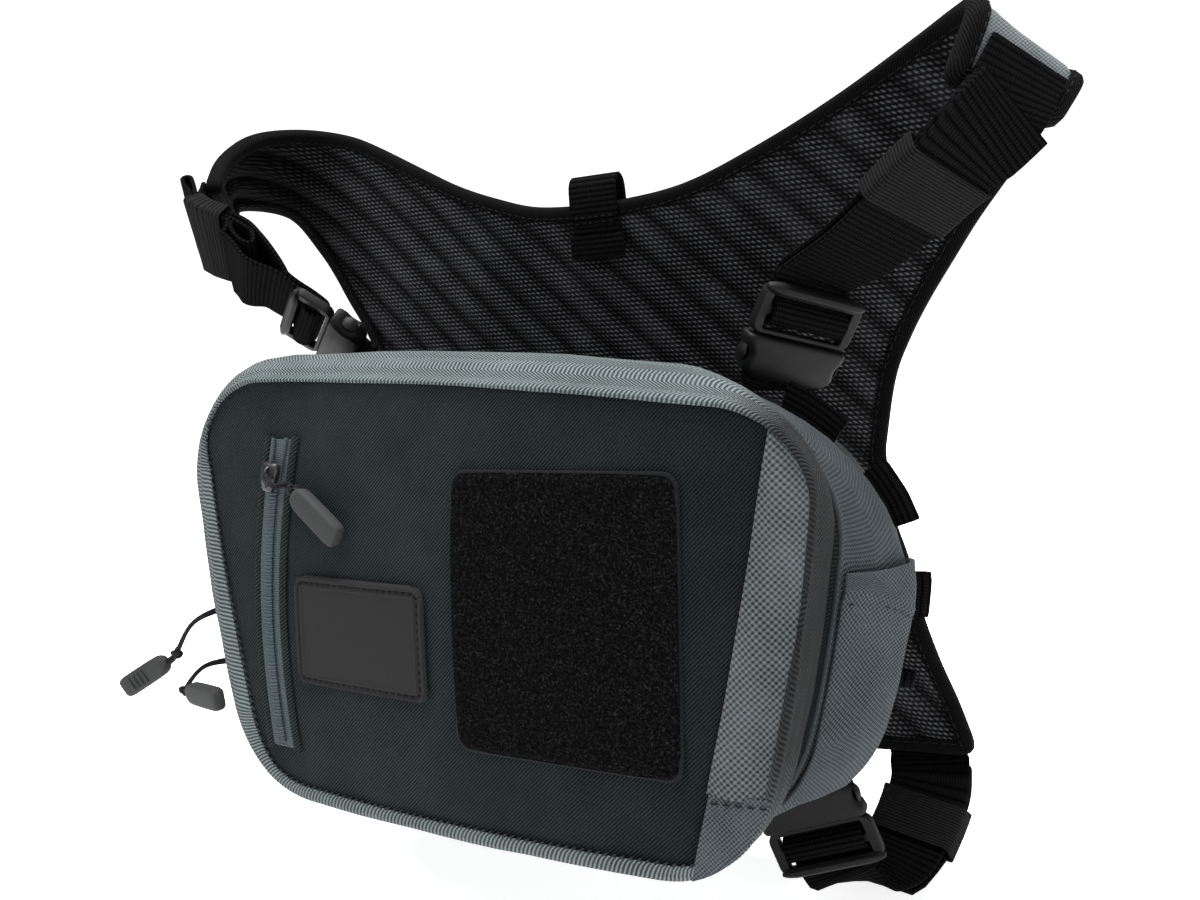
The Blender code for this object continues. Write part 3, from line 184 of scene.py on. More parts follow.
# A section of the bag: its depth as a share of its ring's depth, left and right half widths as
# shares of HALF_WIDTH, top and bottom as shares of HALF_HEIGHT, the corner radii at the top left,
# top right and bottom as shares of HALF_HEIGHT, and shares of TOP_BOW, TOP_DROOP and FACE_LEAN.
Section = namedtuple("Section", "depth left right top bottom round_left round_right round_low "
                     "bow droop lean")
FACE_SECTION = Section(0.0, 1.015, 0.992, 0.94, 0.91, 0.36, 0.32, 0.42, 0.40, 1.0, 1.0)
BAND_SECTIONS = [
    FACE_SECTION,
    Section(0.06, 1.020, 0.993, 0.945, 0.915, 0.37, 0.34, 0.43, 0.42, 1.0, 1.0),
    Section(0.28, 1.115, 0.998, 0.970, 0.94, 0.44, 0.40, 0.46, 0.60, 1.0, 1.0),
    Section(0.60, 1.165, 1.000, 0.985, 0.96, 0.50, 0.48, 0.50, 0.70, 1.0, 1.0),
    Section(1.00, 1.150, 0.990, 0.980, 0.96, 0.50, 0.55, 0.52, 0.70, 1.0, 1.0),
]
FRONT_GUSSET_SECTIONS = [
    Section(0.00, 1.135, 1.005, 0.940, 0.95, 0.52, 0.60, 0.54, 0.70, 1.0, 1.0),
    Section(0.06, 1.138, 1.010, 0.935, 0.95, 0.53, 0.61, 0.54, 0.70, 1.0, 1.0),
    Section(0.32, 1.165, 1.085, 0.880, 0.95, 0.62, 0.68, 0.58, 0.60, 0.9, 0.95),
    Section(0.65, 1.180, 1.145, 0.840, 0.95, 0.70, 0.74, 0.60, 0.60, 0.7, 0.85),
    Section(1.00, 1.160, 1.145, 0.805, 0.95, 0.74, 0.76, 0.60, 0.60, 0.5, 0.70),
]
REAR_GUSSET_SECTIONS = [
    Section(0.00, 1.150, 1.135, 0.800, 0.945, 0.74, 0.76, 0.60, 0.60, 0.5, 0.70),
    Section(0.40, 1.125, 1.115, 0.765, 0.93, 0.74, 0.74, 0.58, 0.60, 0.3, 0.40),
    Section(0.80, 1.070, 1.065, 0.735, 0.90, 0.70, 0.70, 0.54, 0.60, 0.1, 0.12),
    Section(0.95, 1.018, 1.013, 0.715, 0.88, 0.66, 0.66, 0.50, 0.60, 0.0, 0.0),
    Section(1.00, 1.015, 1.010, 0.715, 0.88, 0.66, 0.66, 0.50, 0.60, 0.0, 0.0),
]
BACK_SECTION = Section(1.0, 1.005, 1.000, 0.710, 0.87, 0.66, 0.66, 0.50, 0.60, 0.0, 0.0)
# Points on the harness outline: x as a share of HARNESS_REACH, y as a share of HARNESS_SETBACK,
# z as a share of HARNESS_RISE above the origin and of HARNESS_DROP below it.
Spot = namedtuple("Spot", "x y z")
DIP = Spot(0.015, 0.72, 0.722)
LOWER_DIP = Spot(0.0, 0.85, -0.30)
RIGHT_TOP_EDGE = [
    Spot(0.226, 0.63, 0.741),
    Spot(0.413, 0.57, 0.801),
    Spot(0.587, 0.40, 0.870),
    Spot(0.747, 0.00, 0.938),
    Spot(0.819, -0.40, 0.961),
    Spot(0.857, -0.95, 0.946),
    Spot(0.825, -1.25, 0.845),
]
RIGHT_OUTER_EDGE = [
    Spot(0.955, -0.40, 0.772),
    Spot(0.985, 0.10, 0.838),
    Spot(0.909, 0.47, 0.763),
    Spot(0.858, 0.60, 0.700),
    Spot(0.805, 0.70, 0.633),
    Spot(0.756, 0.80, 0.561),
    Spot(0.706, 0.90, 0.486),
    Spot(0.662, 0.97, 0.406),
    Spot(0.629, 1.00, 0.322),
]
LEFT_TOP_EDGE = [
    Spot(-0.141, 0.73, 0.732),
    Spot(-0.256, 0.80, 0.763),
    Spot(-0.375, 0.87, 0.807),
    Spot(-0.492, 0.90, 0.867),
    Spot(-0.620, 0.87, 0.937),
    Spot(-0.696, 0.77, 0.972),
    Spot(-0.786, 0.40, 0.992),
    Spot(-0.835, -0.30, 0.978),
    Spot(-0.835, -0.95, 0.925),
    Spot(-0.790, -1.50, 0.860),
]
LEFT_OUTER_EDGE = [
    Spot(-0.930, -0.45, 0.795),
    Spot(-0.985, 0.10, 0.845),
    Spot(-0.900, 0.73, 0.817),
    Spot(-0.836, 0.97, 0.713),
    Spot(-0.796, 1.00, 0.645),
    Spot(-0.762, 1.00, 0.579),
    Spot(-0.699, 1.00, 0.458),
]
WAIST = Spot(0.603, 1.00, 0.171)
LOWER_OUTER_EDGE = [
    Spot(0.615, 1.00, 0.03),
    Spot(0.645, 1.00, -0.14),
    Spot(0.667, 1.00, -0.36),
    Spot(0.702, 1.00, -0.581),
    Spot(0.737, 1.00, -0.753),
    Spot(0.772, 0.93, -0.938),
]
LOWER_INNER_EDGE = [
    Spot(0.20, 0.87, -0.38),
    Spot(0.40, 0.90, -0.62),
    Spot(0.565, 0.93, -0.97),
]


def along(points, share):
    """The point at a share of a polyline's length."""
    lengths = [(b - a).length for a, b in zip(points, points[1:])]
    goal = share * sum(lengths)
    for a, b, length in zip(points, points[1:], lengths):
        if goal <= length:
            return a.lerp(b, goal / length if length else 0.0)
        goal -= length
    return points[-1].copy()


def clamp(share):
    return max(0.0, min(1.0, share))


def ease(share):
    """A share that starts and ends slowly."""
    return share * share * (3 - 2 * share)


def resample(points, steps):
    return [along(points, i / steps) for i in range(steps + 1)]


def smooth_path(points, steps):
    """A Catmull-Rom curve through the points, with a number of steps in each span."""
    ends = [2 * points[0] - points[1]] + points + [2 * points[-1] - points[-2]]
    path = []
    for p0, p1, p2, p3 in zip(ends, ends[1:], ends[2:], ends[3:]):
        for i in range(steps):
            t = i / steps
            path.append(0.5 * (2 * p1 + (p2 - p0) * t + (2 * p0 - 5 * p1 + 4 * p2 - p3) * t * t
                               + (3 * p1 - p0 - 3 * p2 + p3) * t ** 3))
    path.append(points[-1].copy())
    return path


def coons(bottom, top, left, right):
    """A grid between four edges: bottom and top run left to right, left and right run upward."""
    columns = len(bottom) - 1
    rows = len(left) - 1
    grid = []
    for j in range(rows + 1):
        v = j / rows
        line = []
        for i in range(columns + 1):
            u = i / columns
            edges = bottom[i].lerp(top[i], v) + left[j].lerp(right[j], u)
            corners = bottom[0].lerp(bottom[-1], u).lerp(top[0].lerp(top[-1], u), v)
            line.append(edges - corners)
        grid.append(line)
    return grid


def corner_arc(before, corner, after, radius, steps):
    a = (before - corner).normalized()
    b = (after - corner).normalized()
    half = a.angle(b) / 2
    centre = corner + (a + b).normalized() * (radius / sin(half))
    start = corner + a * (radius / tan(half)) - centre
    end = corner + b * (radius / tan(half)) - centre
    sweep = start.angle(end)
    arc = []
    for i in range(steps + 1):
        t = i / steps
        arc.append(centre + (start * sin((1 - t) * sweep) + end * sin(t * sweep)) / sin(sweep))
    return arc


def outline(section, inset=0.0):
    """The section's closed outline in its own plane, from the middle of the top left corner.

    The order is left side, bottom, right side, top, with SIDE_STEPS points to each.
    """
    left = section.left * HALF_WIDTH - inset
    right = section.right * HALF_WIDTH - inset
    top = section.top * HALF_HEIGHT - inset
    bottom = section.bottom * HALF_HEIGHT - inset
    corners = [Vector((-left, top)), Vector((-left * SIDE_TAPER, -bottom)),
               Vector((right * SIDE_TAPER, -bottom)), Vector((right, top))]
    rounds = (section.round_left, section.round_low, section.round_low, section.round_right)
    radii = [HALF_HEIGHT * share - inset for share in rounds]
    points = []
    for i in range(4):
        arc = corner_arc(corners[i - 1], corners[i], corners[(i + 1) % 4], radii[i], CORNER_STEPS)
        following = corner_arc(corners[i], corners[(i + 1) % 4], corners[(i + 2) % 4],
                               radii[(i + 1) % 4], CORNER_STEPS)
        points += arc[:-1]
        points += [arc[-1].lerp(following[0], k / EDGE_STEPS) for k in range(EDGE_STEPS)]
    half_arc = CORNER_STEPS // 2
    points = points[half_arc:] + points[:half_arc]
    shaped = []
    for point in points:
        u = point.x / (right if point.x > 0 else left)
        v = point.y / (top if point.y > 0 else bottom)
        x = point.x + SIDE_BOW * u * (1 - v * v)
        if point.y > 0:
            z = point.y + v * (TOP_BOW * section.bow * (1 - u * u)
                               - TOP_DROOP * section.droop * u)
        else:
            z = point.y + v * BOTTOM_BOW * (1 - u * u)
        shaped.append(Vector((x, z)))
    return shaped


def place(flat, depth, lean):
    """A point of a section's plane set at its depth behind the front face."""
    angle = FACE_LEAN * lean
    return Vector((flat.x, -BAG_DEPTH + depth + flat.y * sin(angle), flat.y * cos(angle)))


def section_ring(section, start, length, inset=0.0):
    depth = start + section.depth * length
    return [place(p, depth, section.lean) for p in outline(section, inset)]


def blend_section(sections, share):
    """The section at a share of its ring's depth, read between the table's rows."""
    for a, b in zip(sections, sections[1:]):
        if share <= b.depth:
            t = (share - a.depth) / (b.depth - a.depth)
            return Section(*[p + (q - p) * t for p, q in zip(a, b)])
    return sections[-1]


FITTING_LIFT = CLOTH / 2 + GAP
BAND_START = CLOTH / 2 + GAP
BAND_END = BAND_START + BAND_DEPTH
ZIP_END = BAND_END + GAP + ZIP_WIDTH
FRONT_GUSSET_START = ZIP_END + GAP
FRONT_GUSSET_END = FRONT_GUSSET_START + FRONT_GUSSET_DEPTH
REAR_GUSSET_START = FRONT_GUSSET_END + GAP
REAR_GUSSET_END = BAG_DEPTH - BACK_PAD - GAP
REAR_GUSSET_DEPTH = REAR_GUSSET_END - REAR_GUSSET_START


def gusset_point(turn, depth, proud=0.0):
    """A point on the bag's side wall: turn runs from 0 to 1 round the outline."""
    if depth <= FRONT_GUSSET_END:
        share = (depth - FRONT_GUSSET_START) / FRONT_GUSSET_DEPTH
        section = blend_section(FRONT_GUSSET_SECTIONS, share)
    else:
        share = (depth - REAR_GUSSET_START) / REAR_GUSSET_DEPTH
        section = blend_section(REAR_GUSSET_SECTIONS, max(share, 0.0))
    ring = outline(section, -proud)
    step = (turn % 1.0) * RING_STEPS
    first = int(step) % RING_STEPS
    return place(ring[first].lerp(ring[(first + 1) % RING_STEPS], step - int(step)), depth,
                 section.lean)


def face_point(x, z, lift=0.0):
    """A point on the crowned front face, lifted off it towards the front."""
    u = min(abs(x) / HALF_WIDTH, 1.0)
    v = min(abs(z) / HALF_HEIGHT, 1.0)
    crown = FACE_CROWN * (1 - u * u) * (1 - v * v)
    return place(Vector((x, z)), -crown - lift, 1.0)


def face_grid(grid):
    return [[face_point(p.x, p.y) for p in row] for row in grid]


def face_edges():
    """The face outline's four sides, each from corner to corner."""
    ring = outline(FACE_SECTION)
    ring.append(ring[0])
    return [ring[i * SIDE_STEPS:(i + 1) * SIDE_STEPS + 1] for i in range(4)]


def split_at_x(points, x):
    """Divide a left-to-right polyline where it passes x."""
    before = [p for p in points if p.x < x]
    after = [p for p in points if p.x >= x]
    a, b = before[-1], after[0]
    cut = a.lerp(b, (x - a.x) / (b.x - a.x))
    return before + [cut], [cut] + after


def zip_line(share):
    """The front zip's centre line, a slight curve down the left of the front panel."""
    z = FRONT_ZIP_Z + FRONT_ZIP_LENGTH * (0.5 - share)
    x = FRONT_ZIP_X - FRONT_ZIP_BEND * sin(pi * share) + FRONT_ZIP_BEND * (0.5 - share)
    return x, z


def axes(origin, up, width):
    """A frame whose X is the width, Z is up and Y follows from both."""
    z = up.normalized()
    x = (width - width.dot(z) * z).normalized()
    y = z.cross(x)
    return Matrix.Translation(origin) @ Matrix((x, y, z)).transposed().to_4x4()


# The two pieces of a pair: the sign of their side and the letter in their names.
PAIR = ((-1, "a"), (1, "b"))

# Profiles of moulded pieces: shares of a length, a width and a thickness.
SLIDER_PROFILE = ((0.0, 0.50, 0.45), (0.08, 0.62, 0.75), (0.30, 0.78, 0.85), (0.55, 0.95, 0.85),
                  (0.80, 1.0, 0.80), (0.95, 0.90, 0.70), (1.0, 0.75, 0.45))
BODY_PROFILE = ((0.0, 0.62, 0.50), (0.03, 0.72, 0.72), (0.12, 0.84, 0.90), (0.30, 0.93, 0.98),
                (0.45, 0.90, 1.0), (0.60, 0.90, 1.0), (0.75, 0.97, 0.98), (0.92, 1.0, 0.92),
                (0.98, 0.985, 0.84), (1.0, 0.95, 0.76))
PULLER_PROFILE = ((0.05, 0.66), (0.10, 0.84), (0.16, 0.94), (0.30, 0.98), (0.55, 1.0), (0.75, 1.0),
                  (0.88, 0.99), (0.95, 0.94), (0.985, 0.84), (1.0, 0.70))
# The section of a buckle's thick bar: metres across it and shares of how far it stands out.
BAR_PROFILE = ((-0.0026, -0.6), (-0.0028, 0.9), (-0.0012, 1.75), (0.0006, 1.55), (0.0019, 0.6),
               (0.0021, -0.3), (0.0012, -0.95), (-0.0008, -1.0))
# The section of the binding tape: metres outward and shares of its width.
BINDING_PROFILE = ((-0.0030, 0.42), (-0.0010, 0.50), (0.0012, 0.50), (0.0026, 0.36), (0.0032, 0.0),
                   (0.0026, -0.36), (0.0012, -0.50), (-0.0010, -0.50), (-0.0030, -0.42),
                   (-0.0030, -0.2), (-0.0030, 0.2))
# Stitches in metres: how long each is, the gap to the next and the thread's radius.
Seam = namedtuple("Seam", "length gap radius")
CORNER_SEAM = Seam(0.0026, 0.0009, 0.00030)
PANEL_SEAM = Seam(0.0022, 0.0010, 0.00022)
LIP_SEAM = Seam(0.0024, 0.0006, 0.00034)
WALL_SEAM = Seam(0.0026, 0.0010, 0.00026)
PATCH_SEAM = Seam(0.0020, 0.0009, 0.00026)
POCKET_SEAM = Seam(0.0022, 0.0008, 0.00026)
BINDING_SEAM = Seam(0.0028, 0.0010, 0.00028)
HANG_SEAM = Seam(0.0022, 0.0007, 0.00030)
# A stitch: shares of its length along it, of its radius in size and of its radius in lift.
STITCH_PROFILE = ((-0.5, 0.35, -0.6), (-0.3, 1.0, 0.35), (0.0, 1.1, 0.6), (0.3, 1.0, 0.35),
                  (0.5, 0.35, -0.6))

# A main zip pull: its turn round the outline, the points its cord bends at and ends at as shares
# of HALF_WIDTH, BAG_DEPTH and HALF_HEIGHT, and the way its moulded end points.
Pull = namedtuple("Pull", "turn bend end heading")
PULLS = {
    "upper": Pull(0.140, (-1.183, -0.925, -0.232), (-1.294, -0.985, -0.439), (-0.85, -0.20, -0.48)),
    "lower": Pull(0.178, (-1.160, -0.930, -0.470), (-1.130, -1.055, -0.543), (0.95, -0.25, 0.10)),
}


def bag_share(shares):
    return Vector((shares[0] * HALF_WIDTH, shares[1] * BAG_DEPTH, shares[2] * HALF_HEIGHT))


def spot(s):
    """The place of a point on the harness outline."""
    height = HARNESS_RISE if s.z > 0 else HARNESS_DROP
    return Vector((s.x * HARNESS_REACH, s.y * HARNESS_SETBACK, s.z * height))


def mirrored(spots):
    return [s._replace(x=-s.x) for s in spots]


WAISTS = {1: WAIST, -1: WAIST._replace(x=-WAIST.x)}
SIDES = {1: "right", -1: "left"}


def edge(spots, steps):
    return resample(smooth_path([spot(s) for s in spots], 4), steps)


# A buckle's place: the point where its two halves meet as shares of HALF_WIDTH, BAG_DEPTH and
# HALF_HEIGHT, the way its frame points and the way its width runs.
Buckle = namedtuple("Buckle", "x y z up width")
BUCKLES = {
    "upper_right": Buckle(0.792, -0.235, 1.005, (0.453, 0.0, 0.891), (0.54, 0.76, -0.36)),
    "upper_left": Buckle(-0.780, -0.440, 1.185, (-0.63, -0.44, 0.63), (0.76, -0.51, 0.40)),
    "lower_right": Buckle(0.79, -0.305, -1.215, (0.36, 0.0, -0.93), (-0.99, -0.08, -0.09)),
    "lower_left": Buckle(-0.79, -0.305, -1.215, (-0.36, 0.0, -0.93), (-0.99, 0.08, 0.09)),
}


def buckle_frame(name):
    """Local X is the buckle's width, Y runs up into its strap and Z faces out of its front."""
    b = BUCKLES[name]
    origin = Vector((b.x * HALF_WIDTH, b.y * BAG_DEPTH, b.z * HALF_HEIGHT))
    up = Vector(b.up).normalized()
    width = Vector(b.width)
    width = (width - width.dot(up) * up).normalized()
    turned = Matrix((width, up, width.cross(up))).transposed().to_4x4()
    return Matrix.Translation(origin) @ turned


def round_rectangle(half_x, low, high, corner, steps):
    points = []
    centres = ((half_x - corner, high - corner), (corner - half_x, high - corner),
               (corner - half_x, low + corner), (half_x - corner, low + corner))
    for turn, (x, y) in enumerate(centres):
        for i in range(steps + 1):
            angle = pi / 2 * (turn + i / steps)
            points.append((x + corner * cos(angle), y + corner * sin(angle)))
    return points


def layer_depth(layer):
    """How far behind the buckle frame's middle a layer of webbing lies."""
    return FRAME_THICKNESS / 2 + layer * WEB_THICKNESS


def threaded_path():
    """The strap's line through the frame's windows, from its far layer to its near layer."""
    t = FRAME_LENGTH
    f = FRAME_THICKNESS / 2
    w = WEB_THICKNESS
    far = -layer_depth(FAR_LAYER)
    near = -layer_depth(NEAR_LAYER)
    return [(1.06 * t, far), (0.65 * t, far), (0.28 * t, -f - 1.7 * w), (0.215 * t, -f - 0.4 * w),
            (0.245 * t, 0.0), (0.32 * t, f + 0.4 * w), (0.42 * t, f + 0.9 * w),
            (0.52 * t, f + 0.9 * w), (0.61 * t, f + 0.4 * w), (0.70 * t, 0.0),
            (0.766 * t, -f - 0.25 * w), (0.845 * t, near), (1.06 * t, near)]


def row_at(centre, way):
    return [centre - way * WEB_WIDTH / 2, centre, centre + way * WEB_WIDTH / 2]


def arm_row(grid, from_tip, lift, face, like):
    """A strap's row on an arm, at a distance from the arm's tip.

    face is the sign of Y on the arm's outer side and like is the way the row should run.
    """
    columns = [[row[-1] for row in grid], [row[-2] for row in grid]]
    step = sum((a - b).length for a, b in zip(*columns)) / len(grid)
    line = [a.lerp(b, from_tip / step) for a, b in zip(*columns)]
    if (line[-1] - line[0]).dot(like) < 0:
        line = line[::-1]
    length = sum((b - a).length for a, b in zip(line, line[1:]))
    half = WEB_WIDTH / 2 / length
    row = [along(line, share) for share in (0.5 - half, 0.5, 0.5 + half)]
    middle = len(grid) // 2
    inward = (columns[1][middle] - columns[0][middle]).normalized()
    normal = (row[2] - row[0]).cross(inward).normalized()
    if normal.y * face < 0:
        normal = -normal
    return [p + normal * lift for p in row]


# A strap: its buckle, the arm and side it is sewn to, the sign of Y on the arm's outer side, and
# the points it passes as shares of HARNESS_REACH, BAG_DEPTH and HARNESS_RISE, with the way its
# width runs there.
Strap = namedtuple("Strap", "buckle arm side face free")
STRAPS = {
    "shoulder_strap_right": Strap("upper_right", "upper", 1, -1, [
        ((0.663, -0.270, 0.605), (0.54, 0.74, -0.40)),
        ((0.774, -0.330, 0.692), (0.57, 0.72, -0.40)),
        ((0.847, -0.365, 0.742), (0.62, 0.69, -0.37)),
    ]),
    "shoulder_strap_left": Strap("upper_left", "upper", -1, -1, [
        ((-0.616, -0.500, 0.647), (0.70, -0.50, 0.50)),
        ((-0.653, -0.490, 0.687), (0.58, -0.49, 0.65)),
        ((-0.695, -0.480, 0.716), (0.44, -0.47, 0.76)),
        ((-0.790, -0.510, 0.758), (0.44, -0.47, 0.76)),
    ]),
    "waist_strap_right": Strap("lower_right", "lower", 1, 1, [
        ((0.597, -0.180, -0.663), (-0.95, 0.20, -0.05)),
        ((0.642, -0.030, -0.666), (-0.90, 0.40, 0.00)),
        ((0.670, 0.110, -0.628), (-0.93, 0.30, -0.05)),
        ((0.692, 0.230, -0.560), (-0.98, 0.10, -0.08)),
    ]),
    "waist_strap_left": Strap("lower_left", "lower", -1, 1, [
        ((-0.597, -0.180, -0.663), (-0.95, -0.20, 0.05)),
        ((-0.642, -0.030, -0.666), (-0.90, -0.40, 0.00)),
        ((-0.670, 0.110, -0.628), (-0.93, -0.30, 0.05)),
        ((-0.692, 0.230, -0.560), (-0.98, -0.10, 0.08)),
    ]),
}


def sewn_line(name):
    """The rows of a strap's sewn part, from its buckle to the arm."""
    s = STRAPS[name]
    frame = buckle_frame(s.buckle)
    lift = HARNESS_PAD / 2 + 2 * GAP + WEB_THICKNESS / 2
    grid = upper_arm(s.side) if s.arm == "upper" else lower_arm(s.side)
    stations = [(frame @ Vector((0.0, 1.3 * FRAME_LENGTH, -layer_depth(FAR_LAYER))),
                 frame.to_3x3() @ Vector((1.0, 0.0, 0.0)))]
    for shares, way in s.free:
        stations.append((Vector((shares[0] * HARNESS_REACH, shares[1] * BAG_DEPTH,
                                 shares[2] * HARNESS_RISE)), Vector(way)))
    like = stations[-1][1]
    landing = [arm_row(grid, d, lift, s.face, like) for d in (-0.006, 0.004, 0.014)]
    stations.append((landing[0][1], landing[0][2] - landing[0][0]))
    centres = smooth_path([c for c, way in stations], 4)
    ways = smooth_path([way.normalized() for c, way in stations], 4)
    rows = []
    for i, centre in enumerate(centres[:-1]):
        tangent = (centres[i + 1] - centres[max(i - 1, 0)]).normalized()
        way = ways[i]
        rows.append(row_at(centre, (way - way.dot(tangent) * tangent).normalized()))
    return rows + landing


def line_frame(rows, share):
    """The centre, direction, width and loose-end side of a strap at a share of its length."""
    centres = [row[1] for row in rows]
    centre = along(centres, share)
    tangent = (along(centres, min(share + 0.02, 1.0))
               - along(centres, max(share - 0.02, 0.0))).normalized()
    way = along([row[2] for row in rows], share) - centre
    way = (way - way.dot(tangent) * tangent).normalized()
    return centre, tangent, way, way.cross(tangent)


def layer_rows(rows, spacings):
    """Rows that follow a strap at (share, distance) pairs on its loose-end side."""
    made = []
    for share, distance in spacings:
        centre, tangent, way, normal = line_frame(rows, share)
        made.append(row_at(centre + normal * distance, way))
    return made


def fold_rows(rows, share, low, high):
    """A tight turn of webbing from the outer distance to the inner one."""
    centre, tangent, way, normal = line_frame(rows, share)
    radius = (high - low) / 2
    turned = []
    for i in range(5):
        angle = pi * i / 4
        turned.append(row_at(centre + normal * (low + radius + radius * cos(angle))
                             + tangent * radius * sin(angle), way))
    return turned


def roll_rows(rows, share, centre_distance):
    """A flat spiral of webbing, from its outer end to its heart."""
    centre, tangent, way, normal = line_frame(rows, share)
    turned = []
    for i in range(13):
        angle = pi * i / 8
        drop = LAYER_PITCH * angle / (2 * pi)
        long = ROLL_LENGTH / 2 - drop
        wide = ROLL_HEIGHT / 2 - drop
        turned.append(row_at(centre + normal * (centre_distance - wide * cos(angle))
                             - tangent * long * sin(angle), way))
    return turned


def spread(pairs, steps):
    """More (share, distance) pairs between the given ones."""
    made = []
    for (a, p), (b, q) in zip(pairs, pairs[1:]):
        for i in range(steps):
            t = i / steps
            made.append((a + (b - a) * t, p + (q - p) * ease(t)))
    return made + [pairs[-1]]


# How a strap's loose end runs: the shares of the sewn part's length where its keeper starts and
# ends and where its fold turns.
Tail = namedtuple("Tail", "keeper_start keeper_end fold")
TAILS = {
    "shoulder_strap_right": Tail(0.38, 0.59, 0.80),
    "waist_strap_right": Tail(0.40, 0.60, 0.72),
    "waist_strap_left": Tail(0.40, 0.60, 0.72),
}
LEFT_TAIL = Tail(0.39, 0.545, 0.61)
LAYER_STEP = (FAR_LAYER - NEAR_LAYER) * WEB_THICKNESS
STACK = 2 * LAYER_PITCH


def threaded_rows(name):
    """The rows through the buckle, from the loose end's layer to the sewn part's layer."""
    frame = buckle_frame(STRAPS[name].buckle)
    way = frame.to_3x3() @ Vector((1.0, 0.0, 0.0))
    rows = [row_at(frame @ Vector((0.0, y, z)), way) for y, z in threaded_path()]
    return rows[::-1]


# Where a buckle's tab is sewn: the turns round the outline it lies between, and whether it runs
# round the outline or back along the bag.
Tab = namedtuple("Tab", "first last round")
TABS = {
    "upper_right": Tab(0.765, 0.860, True),
    "upper_left": Tab(0.965, 0.890, False),
    "lower_right": Tab(0.490, 0.390, False),
    "lower_left": Tab(0.260, 0.360, False),
}
TAB_COLUMNS = (-0.5, -0.25, 0.0, 0.25, 0.5)
UPPER_EDGES = {1: (RIGHT_TOP_EDGE, RIGHT_OUTER_EDGE), -1: (LEFT_TOP_EDGE, LEFT_OUTER_EDGE)}


def upper_arm(side, fine=1):
    """An arm's grid: rows from the outer edge to the top edge, columns from the centre out."""
    top_edge, outer_edge = UPPER_EDGES[side]
    top = edge([DIP] + top_edge, ARM_STEPS * fine)
    outer = edge([WAISTS[side]] + outer_edge[::-1], ARM_STEPS * fine)
    inner = edge([WAISTS[side], DIP], ACROSS_STEPS * fine)
    return coons(outer, top, inner, resample([outer[-1], top[-1]], ACROSS_STEPS * fine))


def lower_arm(side, fine=1):
    """A lower arm's grid: rows from the inner edge to the outer edge."""
    outer_edge = LOWER_OUTER_EDGE if side > 0 else mirrored(LOWER_OUTER_EDGE)
    inner_edge = LOWER_INNER_EDGE if side > 0 else mirrored(LOWER_INNER_EDGE)
    outer = edge([WAISTS[side]] + outer_edge, LOWER_ARM_STEPS * fine)
    inner = edge([LOWER_DIP] + inner_edge, LOWER_ARM_STEPS * fine)
    root = edge([LOWER_DIP, WAISTS[side]], ACROSS_STEPS * fine)
    return coons(inner, outer, root, resample([inner[-1], outer[-1]], ACROSS_STEPS * fine))


def harness_centre(fine=1):
    steps = ACROSS_STEPS * fine
    return coons(edge([WAISTS[-1], LOWER_DIP], steps), edge([DIP, WAISTS[1]], steps),
                 edge([WAISTS[-1], DIP], steps), edge([LOWER_DIP, WAISTS[1]], steps))


class Shade:
    """A material whose nodes are wired in a few words."""

    def __init__(self, name):
        self.made = bpy.data.materials.new(name)
        self.made.use_nodes = True
        self.tree = self.made.node_tree
        self.surface = self.tree.nodes["Principled BSDF"]
        self.uv = None

    def node(self, kind, inputs=(), **settings):
        made = self.tree.nodes.new(kind)
        for key, value in settings.items():
            setattr(made, key, value)
        for key, value in dict(inputs).items():
            self.give(made.inputs[key], value)
        return made

    def give(self, socket, value):
        if isinstance(value, bpy.types.NodeSocket):
            self.tree.links.new(value, socket)
        else:
            socket.default_value = value

    def look(self, **values):
        """Give the surface's inputs; their names are written with _ for a space."""
        for key, value in values.items():
            self.give(self.surface.inputs[key.replace("_", " ")], value)

    def math(self, operation, a, b=0.0, c=0.5):
        return self.node("ShaderNodeMath", {0: a, 1: b, 2: c}, operation=operation).outputs[0]

    def plane(self):
        """The cloth's own coordinates in metres, across and along."""
        if self.uv is None:
            place_in = self.node("ShaderNodeTexCoord").outputs["UV"]
            split = self.node("ShaderNodeSeparateXYZ", {0: place_in})
            self.uv = (split.outputs[0], split.outputs[1])
        return self.uv

    def plus(self, a, b):
        return self.math("ADD", a, b)

    def times(self, a, b):
        return self.math("MULTIPLY", a, b)

    def wave(self, distance, pitch):
        return self.math("SINE", self.times(distance, 2 * pi / pitch))

    def half(self, value):
        """A wave from -1 to 1 brought to 0 to 1."""
        return self.math("MULTIPLY_ADD", value, 0.5)

    def noise(self, scale, detail=2.0, rough=0.5):
        at = self.node("ShaderNodeTexCoord").outputs["Object"]
        return self.node("ShaderNodeTexNoise", {"Vector": at, "Scale": scale, "Detail": detail,
                                                "Roughness": rough}).outputs["Fac"]

    def mix(self, share, low, high):
        made = self.node("ShaderNodeMix", data_type="RGBA")
        self.give(made.inputs[0], share)
        self.give(made.inputs[6], low)
        self.give(made.inputs[7], high)
        return made.outputs[2]

    def bump(self, height, distance, strength=1.0):
        made = self.node("ShaderNodeBump", {"Height": height, "Distance": distance,
                                            "Strength": strength})
        if self.surface.inputs["Normal"].links:
            self.give(made.inputs["Normal"], self.surface.inputs["Normal"].links[0].from_socket)
        self.give(self.surface.inputs["Normal"], made.outputs["Normal"])


